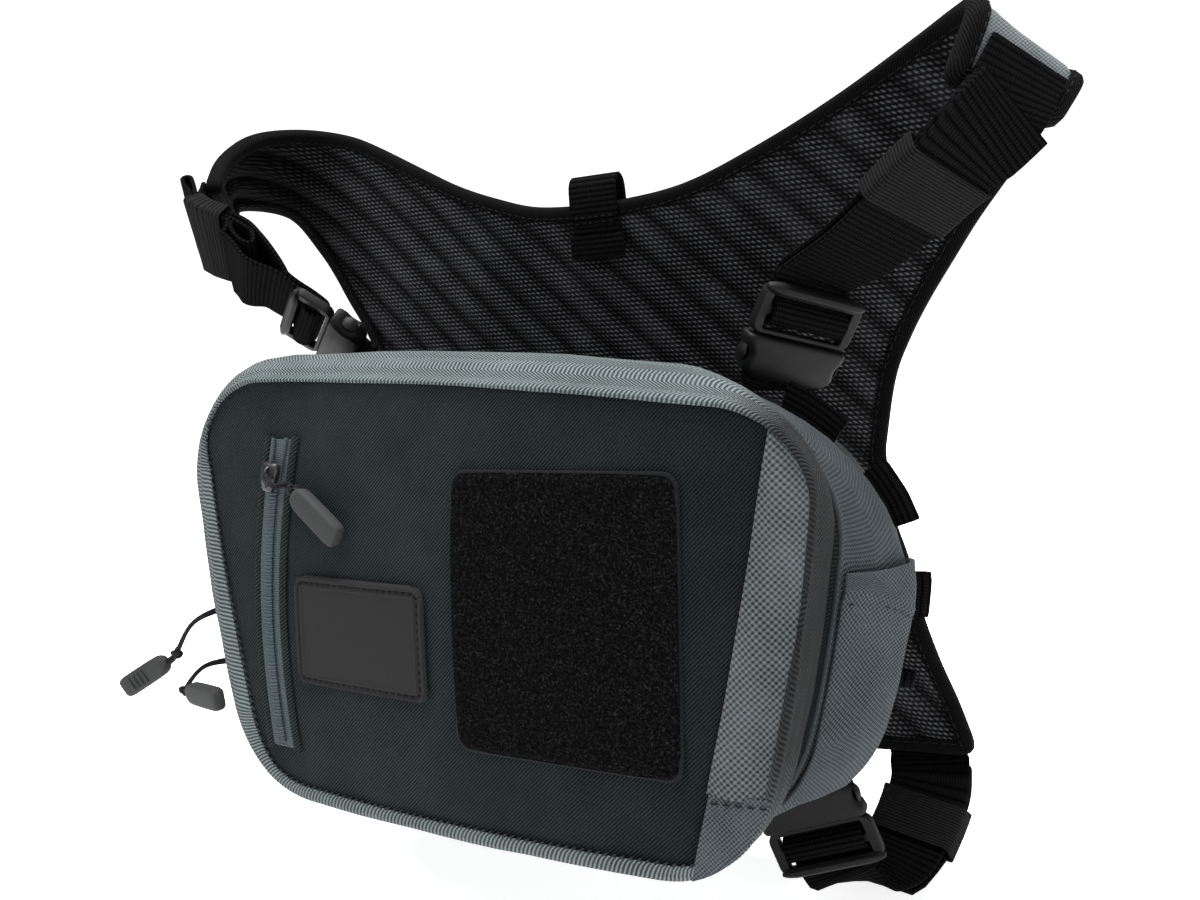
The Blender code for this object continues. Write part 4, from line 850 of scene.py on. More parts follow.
def weave_height(shade, pattern, pitch):
    """The height of a cloth's threads from 0 to 1, from its own coordinates."""
    u, v = shade.plane()
    if pattern == "plain":
        return shade.half(shade.times(shade.wave(u, pitch), shade.wave(v, pitch)))
    if pattern == "twill":
        line = shade.half(shade.wave(shade.math("SUBTRACT", u, v), pitch))
        cross = shade.half(shade.wave(shade.plus(u, v), 0.8 * pitch))
        return shade.times(line, shade.math("MULTIPLY_ADD", cross, 0.5))
    if pattern == "herringbone":
        zigzag = shade.math("PINGPONG", v, 3.2 * pitch)
        return shade.half(shade.wave(shade.plus(u, zigzag), pitch))
    if pattern == "ribs":
        rib = shade.math("ABSOLUTE", shade.wave(v, 2 * pitch))
        knot = shade.math("ABSOLUTE", shade.wave(u, 1.1 * pitch))
        rise = shade.math("POWER", rib, 0.7)
        return shade.times(rise, shade.math("MULTIPLY_ADD", knot, 0.45, 0.55))
    if pattern == "mesh":
        row = shade.math("POWER", shade.half(shade.wave(v, pitch)), 1.5)
        return shade.times(row, shade.half(shade.wave(shade.plus(u, v), 1.2 * pitch)))
    raise ValueError(pattern)


def cloth_finish(name, low, high, pattern, pitch, relief, rough=0.88, shine=0.10, cloudy=0.35,
                 shaded=None, channel_shade_pitch=None):
    """A woven finish: dark between the threads, lighter on them, a little uneven all over."""
    shade = Shade(name)
    height = weave_height(shade, pattern, pitch)
    patch = shade.noise(38.0, 4.0, 0.6)
    fibre = shade.noise(1700.0, 2.0, 0.5)
    share = shade.plus(shade.times(height, 0.75),
                       shade.times(shade.math("SUBTRACT", patch, 0.5), cloudy))
    share = shade.plus(share, shade.times(shade.math("SUBTRACT", fibre, 0.5), 0.35))
    at = shade.node("ShaderNodeTexCoord").outputs["Object"]
    split = shade.node("ShaderNodeSeparateXYZ", {0: at})
    x, z = split.outputs[0], split.outputs[2]
    # Painted shade in the quilt grooves and a painted highlight on the ridges between them, along x
    # + z.
    if channel_shade_pitch is not None:
        ridge = shade.math("ABSOLUTE", shade.wave(shade.plus(x, z), 2 * channel_shade_pitch))
        share = shade.times(share, shade.math("MULTIPLY_ADD", ridge, 0.95, 0.25))
    colour = shade.mix(share, (*low, 1.0), (*high, 1.0))
    # Painted shade: from start to end along x, the colour fades to a copy of the same cloth
    # darkened by the factor.
    if shaded is not None:
        factor, start, end = shaded
        painted_shade_share = shade.node("ShaderNodeMapRange", {0: x, 1: start, 2: end}).outputs[0]
        low, high = [[c * factor for c in tone] for tone in (low, high)]
        colour = shade.mix(painted_shade_share, colour, shade.mix(share, (*low, 1.0), (*high, 1.0)))
    shade.look(Base_Color=colour, Roughness=rough, Sheen_Weight=0.2 * shine, Sheen_Roughness=0.5,
               Specular_IOR_Level=shine)
    shade.bump(shade.noise(60.0, 3.0, 0.5), 0.0004, 0.5)
    shade.bump(shade.plus(height, shade.times(fibre, 0.35)), relief)
    return shade.made


def pile_finish():
    shade = Shade("loop_pile")
    tuft = shade.noise(1250.0, 2.0, 0.6)
    curl = shade.noise(2600.0, 2.0, 0.6)
    lift = shade.math("POWER", tuft, 7.0)
    share = shade.times(shade.plus(lift, shade.times(curl, 0.004)), 9.0)
    colour = shade.mix(share, (0.0001, 0.0001, 0.0001, 1.0), (0.0220, 0.0220, 0.0235, 1.0))
    shade.look(Base_Color=colour, Roughness=0.95, Specular_IOR_Level=0.03)
    shade.bump(shade.plus(tuft, curl), 0.0005)
    return shade.made


def moulded_finish(name, low, high, rough, grain, shine):
    shade = Shade(name)
    speck = shade.noise(900.0, 3.0, 0.6)
    wear = shade.noise(45.0, 5.0, 0.65)
    share = shade.plus(shade.times(speck, 0.5), shade.times(wear, 0.5))
    rubbed = shade.math("MULTIPLY_ADD", wear, 0.25)
    shade.look(Base_Color=shade.mix(share, (*low, 1.0), (*high, 1.0)),
               Roughness=shade.plus(rubbed, rough - 0.35), Specular_IOR_Level=shine)
    shade.bump(speck, grain)
    return shade.made


def metal_finish():
    shade = Shade("dark_metal")
    wear = shade.noise(160.0, 4.0, 0.6)
    colour = shade.mix(wear, (0.010, 0.010, 0.011, 1.0), (0.055, 0.056, 0.060, 1.0))
    shade.look(Base_Color=colour, Metallic=0.7, Roughness=0.35)
    shade.bump(shade.noise(700.0), 0.0001)
    return shade.made


FINISHES = {
    # The front panel's twill carries painted shade, down to 0.55 of its tone towards the right,
    # from x = -0.02 to 0.11.
    "panel_dark": cloth_finish("panel_twill", (0.0035, 0.0050, 0.0054), (0.034, 0.045, 0.048),
        "twill", 0.0014, 0.00040, 0.9, 0.04, 0.45, (0.55, -0.02, 0.11)),
    # The band's twill carries painted shade on its right side, down to 0.12 of its tone from x =
    # 0.098 to 0.114.
    "band_teal": cloth_finish("band_twill", (0.014, 0.019, 0.020), (0.180, 0.212, 0.215),
        "herringbone", 0.0016, 0.00040, shaded=(0.12, 0.098, 0.114)),
    "fabric_grey": cloth_finish("side_weave", (0.006, 0.008, 0.009), (0.098, 0.114, 0.124),
        "plain", 0.0015, 0.00040, cloudy=0.5),
    "fabric_light": cloth_finish("insert_weave", (0.005, 0.007, 0.008), (0.138, 0.158, 0.164),
        "plain", 0.0021, 0.00060, cloudy=0.6),
    "zip_slate": cloth_finish("zip_tape", (0.008, 0.012, 0.014), (0.072, 0.098, 0.112), "ribs",
        0.0009, 0.00018, shine=0.2),
    # The air mesh carries painted shade on the far left arm (x from -0.125 to -0.165), and painted
    # shade in its quilt grooves with a painted highlight on the ridges.
    "mesh_black": cloth_finish("air_mesh", (0.0020, 0.0020, 0.0022), (0.110, 0.112, 0.120),
        "mesh", 0.0019, 0.00050, 0.8, 0.03, 0.4, (0.12, -0.125, -0.165), QUILT_PITCH),
    "outer_grey": cloth_finish("outer_weave", (0.050, 0.060, 0.064), (0.190, 0.215, 0.222),
        "plain", 0.0012, 0.00022),
    "webbing": cloth_finish("webbing_ribs", (0.0001, 0.0001, 0.0001), (0.0072, 0.0072, 0.0080),
        "ribs", 0.0021, 0.00090, 0.8, 0.012, 0.2),
    "elastic": cloth_finish("elastic_ribs", (0.0006, 0.0006, 0.0007), (0.0190, 0.0185, 0.0185),
        "ribs", 0.0012, 0.00050, 0.8, 0.02, 0.2),
    "binding": cloth_finish("binding_tape", (0.0003, 0.0003, 0.0003), (0.0080, 0.0080, 0.0084),
        "twill", 0.0013, 0.00030, 0.8, 0.03, 0.2),
    "thread_dark": cloth_finish("thread_dark", (0.001, 0.0013, 0.0015), (0.009, 0.011, 0.012),
        "twill", 0.0005, 0.00010, 0.7),
    "thread_grey": cloth_finish("thread_grey", (0.014, 0.017, 0.018), (0.070, 0.080, 0.082),
        "twill", 0.0005, 0.00010, 0.7),
    "cord": cloth_finish("cord_braid", (0.0004, 0.0004, 0.0004), (0.0100, 0.0100, 0.0104),
        "twill", 0.0011, 0.00035, 0.6, 0.15),
    "pile": pile_finish(),
    "rubber": moulded_finish("soft_rubber", (0.005, 0.005, 0.0052), (0.014, 0.014, 0.0143), 0.60,
        0.00006, 0.2),
    "puller": moulded_finish("puller_rubber", (0.010, 0.0105, 0.011), (0.026, 0.0265, 0.027),
        0.50, 0.00006, 0.3),
    "buckle": moulded_finish("buckle_plastic", (0.0006, 0.0006, 0.0007), (0.0022, 0.0022, 0.0025),
        0.28, 0.00003, 0.16),
    "metal": metal_finish(),
}


def finish_piece(item, finish, *nodes):
    """Give a piece its material, its body and the nodes it stands for."""
    if not item.data.materials:
        item.data.materials.append(FINISHES[finish])
    bpy.context.scene.collection.objects.link(item)
    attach(item, "root")
    if nodes:
        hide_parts(*nodes)
    return item


def grid_faces(rows, columns, closed, first=0):
    faces = []
    last = columns if closed else columns - 1
    for row in range(rows - 1):
        for column in range(last):
            a = first + row * columns + column
            b = first + row * columns + (column + 1) % columns
            faces.append((a, b, b + columns, a + columns))
    return faces


def lengths_along(points):
    total = 0.0
    made = [0.0]
    for a, b in zip(points, points[1:]):
        total += (b - a).length
        made.append(total)
    return made


def new_mesh(name, points, faces, corners=()):
    """A smooth mesh; corners are the cloth coordinates of its faces' corners in metres."""
    mesh = bpy.data.meshes.new(name)
    mesh.from_pydata([tuple(p) for p in points], [], faces)
    layer = mesh.uv_layers.new(name="cloth")
    for loop, place_in in zip(layer.data, corners):
        loop.uv = place_in
    mesh.polygons.foreach_set("use_smooth", [True] * len(mesh.polygons))
    return mesh


def face_outward(mesh, join_within=0.0):
    """Turn a mesh's faces outward, after joining the points that nearly meet."""
    shell = bmesh.new()
    shell.from_mesh(mesh)
    if join_within:
        bmesh.ops.remove_doubles(shell, verts=shell.verts, dist=join_within)
    bmesh.ops.recalc_face_normals(shell, faces=shell.faces)
    shell.to_mesh(mesh)
    shell.free()
    return mesh


def round_rims(item, width, segments, from_angle):
    """Bevel the edges that turn by more than an angle in degrees."""
    rim = item.modifiers.new("Rim", "BEVEL")
    rim.width = width
    rim.segments = segments
    rim.limit_method = "ANGLE"
    rim.angle_limit = radians(from_angle)


def grid_mesh(name, grids, closed=False, flat=None):
    """A smooth mesh over grids of points, with cloth coordinates in metres.

    flat gives a point's coordinates; without it they run along the grid's middle lines.
    """
    points = []
    faces = []
    corners = []
    for grid in grids:
        rows = len(grid)
        columns = len(grid[0])
        first = len(points)
        around = lengths_along(grid[rows // 2] + ([grid[rows // 2][0]] if closed else []))
        down = lengths_along([row[columns // 2] for row in grid])
        for j, row in enumerate(grid):
            points += row
        for face in grid_faces(rows, columns, closed, first):
            faces.append(face)
            for k, index in enumerate(face):
                i = (index - first) % columns
                j = (index - first) // columns
                if flat is not None:
                    corners.append(flat(points[index]))
                    continue
                wraps = closed and i == 0 and k in (1, 2)
                corners.append((around[columns] if wraps else around[i], down[j]))
    return face_outward(new_mesh(name, points, faces, corners), 0.00002)


def ripple(mesh, height):
    """Move each point of a mesh along its normal by a height found from its place."""
    moved = [v.co + v.normal * height(v.co) for v in mesh.vertices]
    for vertex, place_in in zip(mesh.vertices, moved):
        vertex.co = place_in
    return mesh


def cloth(name, grids, thickness, finish, *nodes, closed=False, flat=None, height=None):
    """A sheet of cloth with a wall and soft rims."""
    mesh = grid_mesh(name, grids, closed, flat)
    if height is not None:
        ripple(mesh, height)
    item = bpy.data.objects.new(name, mesh)
    wall = item.modifiers.new("Wall", "SOLIDIFY")
    wall.thickness = thickness
    wall.offset = 0.0
    round_rims(item, 0.3 * thickness, 2, 50.0)
    return finish_piece(item, finish, *nodes)


def solid_loft(name, rings, finish, *nodes, closed_path=False, bevel=0.0):
    """A closed solid through rings of equal count, with coordinates round and along it."""
    count = len(rings[0])
    path = rings + ([rings[0]] if closed_path else [])
    along_path = lengths_along([ring[0] for ring in path])
    around = lengths_along(rings[0] + [rings[0][0]])
    points = [p for ring in rings for p in ring]
    faces = []
    corners = []
    for j in range(len(path) - 1):
        for i in range(count):
            face = []
            for dj, di in ((0, 0), (0, 1), (1, 1), (1, 0)):
                face.append(((j + dj) % len(rings)) * count + (i + di) % count)
                corners.append((around[i + di], along_path[j + dj]))
            faces.append(face)
    if not closed_path:
        for ring_index in (0, len(rings) - 1):
            faces.append([ring_index * count + i for i in range(count)])
            corners += [(points[ring_index * count + i].x, points[ring_index * count + i].z)
                        for i in range(count)]
    mesh = face_outward(new_mesh(name, points, faces, corners))
    mesh.set_sharp_from_angle(angle=radians(48.0))
    item = bpy.data.objects.new(name, mesh)
    if bevel:
        round_rims(item, bevel, 3, 35.0)
    return finish_piece(item, finish, *nodes)


def webbing_rings(rows):
    """Rings of a flat strap's section along pairs of edge points."""
    rings = []
    centres = [row[0].lerp(row[-1], 0.5) for row in rows]
    for j, row in enumerate(rows):
        tangent = (centres[min(j + 1, len(rows) - 1)] - centres[max(j - 1, 0)]).normalized()
        way = row[-1] - row[0]
        half = way.length / 2
        way.normalize()
        normal = tangent.cross(way).normalized()
        ring = []
        for x, y in strap_section(half, WEB_THICKNESS / 2, WEB_CORNER * WEB_THICKNESS):
            ring.append(centres[j] + way * x + normal * y)
        rings.append(ring)
    return rings


def strap_section(half, high, corner):
    points = []
    for i in range(7):
        points.append((half - corner - 2 * (half - corner) * i / 6, high))
    for angle in (120.0, 150.0, 180.0, 210.0, 240.0):
        points.append((-half + corner + corner * cos(radians(angle)),
                       high * sin(radians(angle)) / 0.87))
    for i in range(7):
        points.append((-half + corner + 2 * (half - corner) * i / 6, -high))
    for angle in (300.0, 330.0, 0.0, 30.0, 60.0):
        points.append((half - corner + corner * cos(radians(angle)),
                       high * sin(radians(angle)) / 0.87))
    return points


def circle(count):
    """The cosine and sine at equal steps round a circle."""
    return [(cos(2 * pi * k / count), sin(2 * pi * k / count)) for k in range(count)]


def tube_rings(points, radius, sides):
    rings = []
    side = None
    for j, point in enumerate(points):
        tangent = (points[min(j + 1, len(points) - 1)] - points[max(j - 1, 0)]).normalized()
        if side is None:
            side = tangent.orthogonal().normalized()
        side = (side - side.dot(tangent) * tangent).normalized()
        other = tangent.cross(side)
        rings.append([point + side * radius * c + other * radius * s for c, s in circle(sides)])
    return rings


def rod(name, points, radius, finish, *nodes, sides=10):
    return solid_loft(name, tube_rings(points, radius, sides), finish, *nodes)


def stitches(name, path, outs, finish, seam, slant=0.0):
    """A row of sewn stitches: short threads laid along a path, each sunk at its ends."""
    total = lengths_along(path)
    count = max(int(total[-1] / (seam.length + seam.gap)), 1)
    hexagon = circle(6)
    points = []
    faces = []
    for n in range(count):
        here = along(path, (n + 0.5) / count)
        ahead = along(path, min((n + 0.6) / count, 1.0))
        back = along(path, (n + 0.4) / count)
        tangent = (ahead - back).normalized()
        share = (n + 0.5) / count * (len(outs) - 1)
        out = outs[int(share)].normalized()
        side = out.cross(tangent).normalized()
        way = (tangent * cos(slant) + side * sin(slant)).normalized()
        across = out.cross(way).normalized()
        first = len(points)
        for t, size, lift in STITCH_PROFILE:
            centre = here + way * seam.length * t + out * seam.radius * lift
            points += [centre + (across * c + out * s) * seam.radius * size for c, s in hexagon]
        for j in range(4):
            for k in range(6):
                a = first + j * 6 + k
                b = first + j * 6 + (k + 1) % 6
                faces.append((a, b, b + 6, a + 6))
        faces.append([first + k for k in range(6)][::-1])
        faces.append([first + 24 + k for k in range(6)])
    return finish_piece(bpy.data.objects.new(name, new_mesh(name, points, faces)), finish)


def flat_xz(p):
    return (p.x, p.z)


def soft(p, scale, seed):
    return noise.noise(Vector((p.x * scale + seed, p.y * scale, p.z * scale)))


FACE_OUT = Vector((0.0, -cos(FACE_LEAN), sin(FACE_LEAN)))


def face_height(p):
    """Soft unevenness of the front cloth."""
    return 0.0007 * soft(p, 22.0, 3.1) + 0.0004 * soft(p, 55.0, 9.4)


def face_pieces():
    """The front cloth, the woven insert on its right and the corner below the insert."""
    left, bottom, right, top = face_edges()
    left = left[::-1]
    top = top[::-1]
    upper_x = right[-1].x - 0.2 * INSERT_WIDTH
    lower_x = right[0].x - 0.64 * INSERT_WIDTH
    top_main, top_rest = split_at_x(top, upper_x)
    bottom_main, bottom_rest = split_at_x(bottom, lower_x)
    outer = bottom_rest + right[1:] + top_rest[::-1][1:]
    panel_edge = []
    for i in range(FACE_STEPS + 1):
        t = i / FACE_STEPS
        straight = bottom_main[-1].lerp(top_main[-1], t)
        panel_edge.append(straight + Vector((0.1 * INSERT_WIDTH * sin(pi * t), 0.0)))
    panel = coons(resample(bottom_main, FACE_STEPS), resample(top_main, FACE_STEPS),
                  resample(left, FACE_STEPS), panel_edge)
    cloth("front_cloth", [face_grid(panel)], SIDE_WALL, "panel_dark", "front_panel", flat=flat_xz,
          height=face_height)
    level = -HALF_HEIGHT * FACE_SECTION.bottom + CORNER_PANEL_HEIGHT
    outer_edge = resample(outer, 2 * FACE_STEPS)
    upper_outer = [p for p in outer_edge if p.y > level]
    upper_inner = [p for p in panel_edge if p.y > level]
    insert = coons(resample([upper_inner[0], upper_outer[0]], 10),
                   resample([upper_inner[-1], upper_outer[-1]], 10),
                   resample(upper_inner, FACE_STEPS), resample(upper_outer, FACE_STEPS))
    raised = []
    for j, row in enumerate(insert):
        line = []
        for i, p in enumerate(row):
            swell = sin(pi * min(i / 10 * 1.3 + 0.12, 1.0))
            swell *= min(1.0, 6 * (1 - j / FACE_STEPS) + 0.2)
            fold = 0.0007 * sin(j / FACE_STEPS * 17.0 + i * 0.25) * sin(pi * i / 10)
            line.append(face_point(p.x - 0.0008 * (i == 0), p.y, 0.0012 + 0.0013 * swell + fold))
        raised.append(line)
    cloth("insert_cloth", [raised], INSERT_WALL, "fabric_light", "woven_insert", flat=flat_xz)
    lower_outer = [p for p in outer_edge if p.y <= level + 0.003]
    lower_inner = [p for p in panel_edge if p.y <= level + 0.003]
    corner = coons(resample([lower_inner[0], lower_outer[0]], 10),
                   resample([lower_inner[-1], lower_outer[-1]], 10),
                   resample(lower_inner, 16), resample(lower_outer, 16))
    lifted = []
    for j, row in enumerate(corner):
        lifted.append([face_point(p.x, p.y, 0.0022 + 0.0008 * sin(pi * min(j / 16 * 1.2, 1.0)))
                       for p in row])
    cloth("corner_cloth", [lifted], INSERT_WALL, "fabric_grey", "corner_panel", flat=flat_xz)
    hem = [face_point(p.x, p.y - 0.0022, 0.0034)
           for p in resample([corner[-1][0], corner[-1][-1]], 8)]
    stitches("corner_stitches", hem, [FACE_OUT], "thread_dark", CORNER_SEAM)
    inner = [face_point(p.x - 0.0016, p.y, 0.0012) for p in panel_edge if p.y > level]
    stitches("panel_edge_stitches", inner, [FACE_OUT], "thread_dark", PANEL_SEAM)


LIP = ((0.0046, 0.0012), (0.0038, 0.0020), (0.0026, 0.0024), (0.0013, 0.0019), (0.0003, 0.0008))


def lip_outline(inset):
    """The face outline drawn in, less so along the top and the right where the lip is narrow."""
    wide = outline(FACE_SECTION, 2.4 * inset)
    middle = outline(FACE_SECTION, 1.15 * inset)
    narrow = outline(FACE_SECTION, 0.22 * inset)
    made = []
    for a, b, c in zip(wide, middle, narrow):
        near = max(c.x / HALF_WIDTH, c.y / HALF_HEIGHT)
        point = b.lerp(c, ease(clamp((near - 0.55) / 0.3)))
        side = ease(clamp((-c.x / HALF_WIDTH - 0.72) / 0.22))
        made.append(point.lerp(a, side * clamp((0.72 - c.y / HALF_HEIGHT) / 0.9)))
    return made


def wall_height(p):
    """Soft waves of the side cloth, stronger folds down the left of the band."""
    wave = 0.0006 * soft(p, 26.0, 1.7) + 0.0004 * soft(p, 60.0, 5.0)
    beside = clamp((-p.x - 0.112) / 0.02) * max(0.0, 1 - abs(p.z) / 0.075)
    return wave + beside * 0.0012 * sin(p.z * 75.0 + 0.8) * soft(p, 14.0, 2.0)


def fine_sections(sections, steps):
    made = []
    for a, b in zip(sections, sections[1:]):
        for i in range(steps):
            t = i / steps
            made.append(Section(*[p + (q - p) * t for p, q in zip(a, b)]))
    return made + [sections[-1]]


def wall_pieces():
    """The front band with its rolled lip, the main zip's tape and both gussets."""
    lip_rings = []
    for inset, lift in LIP:
        lip_rings.append([face_point(p.x, p.y, lift) for p in lip_outline(inset)])
    band = lip_rings + [section_ring(s, BAND_START, BAND_DEPTH)
                        for s in fine_sections(BAND_SECTIONS, 4)[1:]]
    cloth("band_cloth", [band], SIDE_WALL, "band_teal", "front_band", closed=True,
          height=wall_height)
    seam = [face_point(p.x, p.y, 0.0016) for p in lip_outline(0.0052)]
    stitches("front_seam", seam + [seam[0]], [FACE_OUT], "thread_grey", LIP_SEAM, slant=0.55)
    before, after = BAND_SECTIONS[-1], FRONT_GUSSET_SECTIONS[0]
    zip_rings = []
    for i in range(9):
        share = -0.6 + 2.2 * i / 8
        sunk = 0.00135 + (0.0004 if i in (3, 5) else 0.0009 if i == 4 else 0.0)
        near, far = [section_ring(section._replace(depth=share), BAND_END + GAP, ZIP_WIDTH, sunk)
                     for section in (before, after)]
        zip_rings.append([p.lerp(q, clamp(share)) for p, q in zip(near, far)])
    cloth("main_zip_tape", [zip_rings], PLATE_WALL, "panel_dark", "main_zip", closed=True)
    front = [section_ring(s, FRONT_GUSSET_START, FRONT_GUSSET_DEPTH, -0.0006 if i > 12 else 0.0)
             for i, s in enumerate(fine_sections(FRONT_GUSSET_SECTIONS, 4))]
    cloth("front_gusset_cloth", [front], SIDE_WALL, "fabric_grey", "front_gusset", closed=True,
          height=wall_height)
    rear = [section_ring(s, REAR_GUSSET_START, REAR_GUSSET_DEPTH)
            for s in fine_sections(REAR_GUSSET_SECTIONS, 5)]
    cloth("rear_gusset_cloth", [rear], SIDE_WALL, "fabric_light", "rear_gusset", closed=True,
          height=wall_height)
    ring = section_ring(FRONT_GUSSET_SECTIONS[-1], FRONT_GUSSET_START, FRONT_GUSSET_DEPTH, -0.0010)
    outs = [Vector((p.x, 0.0, p.z)).normalized() for p in ring]
    back = [p + Vector((0.0, -0.0022, 0.0)) for p in ring]
    stitches("gusset_seam", back + [back[0]], outs, "thread_dark", WALL_SEAM)
    near = section_ring(FRONT_GUSSET_SECTIONS[0], FRONT_GUSSET_START, FRONT_GUSSET_DEPTH, -0.0009)
    near = [p + Vector((0.0, 0.0026, 0.0)) for p in near]
    stitches("zip_seam", near + [near[0]], outs, "thread_dark", WALL_SEAM)


def back_pieces():
    """The bag's own back: one soft pad of mesh with upright channels."""
    rings = []
    for share, inset in ((0.0, 0.0030), (0.04, 0.0012), (0.25, 0.0), (0.8, 0.0), (0.96, 0.0008),
                         (1.0, 0.0025)):
        rings.append([place(p, BAG_DEPTH - BACK_PAD + BACK_PAD * share, 0.0)
                      for p in outline(BACK_SECTION, inset)])
    border = rings[-1]
    centre = sum(border, Vector()) / len(border)
    inner = []
    for k in range(1, 13):
        t = k / 13
        ring = []
        for p in border:
            q = p.lerp(centre, t)
            groove = abs(sin(pi * q.x / 0.032)) ** 0.35
            q.y = -0.0011 * (1 - groove) * min(1.0, 6 * t)
            ring.append(q)
        inner.append(ring)
    grid = rings + inner + [[centre.copy() for p in border]]
    mesh = grid_mesh("back_pad", [grid], True, flat_xz)
    item = bpy.data.objects.new("back_pad", mesh)
    finish_piece(item, "mesh_black", "back_panel")


def plate_grid(x, z, width, height, corner, fine):
    half_w = width / 2
    half_h = height / 2
    grid = []
    rows = max(int(height / fine), 4)
    columns = max(int(width / fine), 4)
    for j in range(rows + 1):
        level = -half_h + height * j / rows
        inside = max(abs(level) - (half_h - corner), 0.0)
        reach = half_w - corner + sqrt(max(corner ** 2 - inside ** 2, 0.0))
        grid.append([Vector((x + reach * (2 * i / columns - 1), z + level))
                     for i in range(columns + 1)])
    return grid


def rim_distance(p, x, z, width, height, corner):
    dx = max(abs(p.x - x) - (width / 2 - corner), 0.0)
    dz = max(abs(p.y - z) - (height / 2 - corner), 0.0)
    round_gap = corner - sqrt(dx * dx + dz * dz)
    if dx > 0 and dz > 0:
        return round_gap
    return min(width / 2 - abs(p.x - x), height / 2 - abs(p.y - z))


def face_plate(size, fine, lift):
    """A rounded plate on the front face; lift works from a point and its distance to the rim."""
    return [[face_point(p.x, p.y, FITTING_LIFT + lift(p, rim_distance(p, *size))) for p in row]
            for row in plate_grid(*size, fine)]


def patch_lift(p, distance):
    """A soft rim, a groove for the stitches and a field a little lower than the border."""
    if distance < 0.0005:
        return 0.55 * PATCH_THICKNESS - 0.0006
    if 0.0014 < distance < 0.0030:
        return PATCH_THICKNESS - 0.0012
    return PATCH_THICKNESS - (0.00095 if distance >= 0.0036 else 0.0006)


def pile_lift(p, distance):
    """Tufts and curls that fall off towards the rim."""
    tuft = 0.5 + 0.5 * noise.noise(Vector((p.x * 900.0, p.y * 900.0, 4.0)))
    curl = 0.5 + 0.5 * noise.noise(Vector((p.x * 2300.0, p.y * 2300.0, 7.0)))
    return 0.0008 + (0.0010 * tuft + 0.0006 * curl) * clamp((distance - 0.0010) / 0.0008)


def patch_piece():
    size = (PATCH_X, PATCH_Z, PATCH_WIDTH, PATCH_HEIGHT, 0.004)
    grid = face_plate(size, 0.0005, patch_lift)
    cloth("patch", [grid], PLATE_WALL, "rubber", "rubber_patch", flat=flat_xz)
    path = face_ring(PATCH_X, PATCH_Z, PATCH_WIDTH - 0.0044, PATCH_HEIGHT - 0.0044, 0.0025,
                     FITTING_LIFT + PATCH_THICKNESS - 0.0005)
    stitches("patch_stitches", path + [path[0]], [FACE_OUT], "thread_dark", PATCH_SEAM)


def face_ring(x, z, width, height, corner, lift):
    """Points round a rounded rectangle on the front face."""
    ring = round_rectangle(width / 2, -height / 2, height / 2, corner, 6)
    return [face_point(x + a, z + b, lift) for a, b in ring]


def loop_piece():
    size = (LOOP_FIELD_X, LOOP_FIELD_Z, LOOP_FIELD_WIDTH, LOOP_FIELD_HEIGHT, 0.005)
    grid = face_plate(size, 0.00055, pile_lift)
    cloth("loop_pile_field", [grid], 0.0010, "pile", "loop_field", flat=flat_xz)
    path = face_ring(LOOP_FIELD_X, LOOP_FIELD_Z, LOOP_FIELD_WIDTH - 0.0002,
                     LOOP_FIELD_HEIGHT - 0.0002, 0.005, FITTING_LIFT + 0.0006)
    rod("loop_field_border", path + [path[0]], 0.0009, "thread_dark", sides=8)


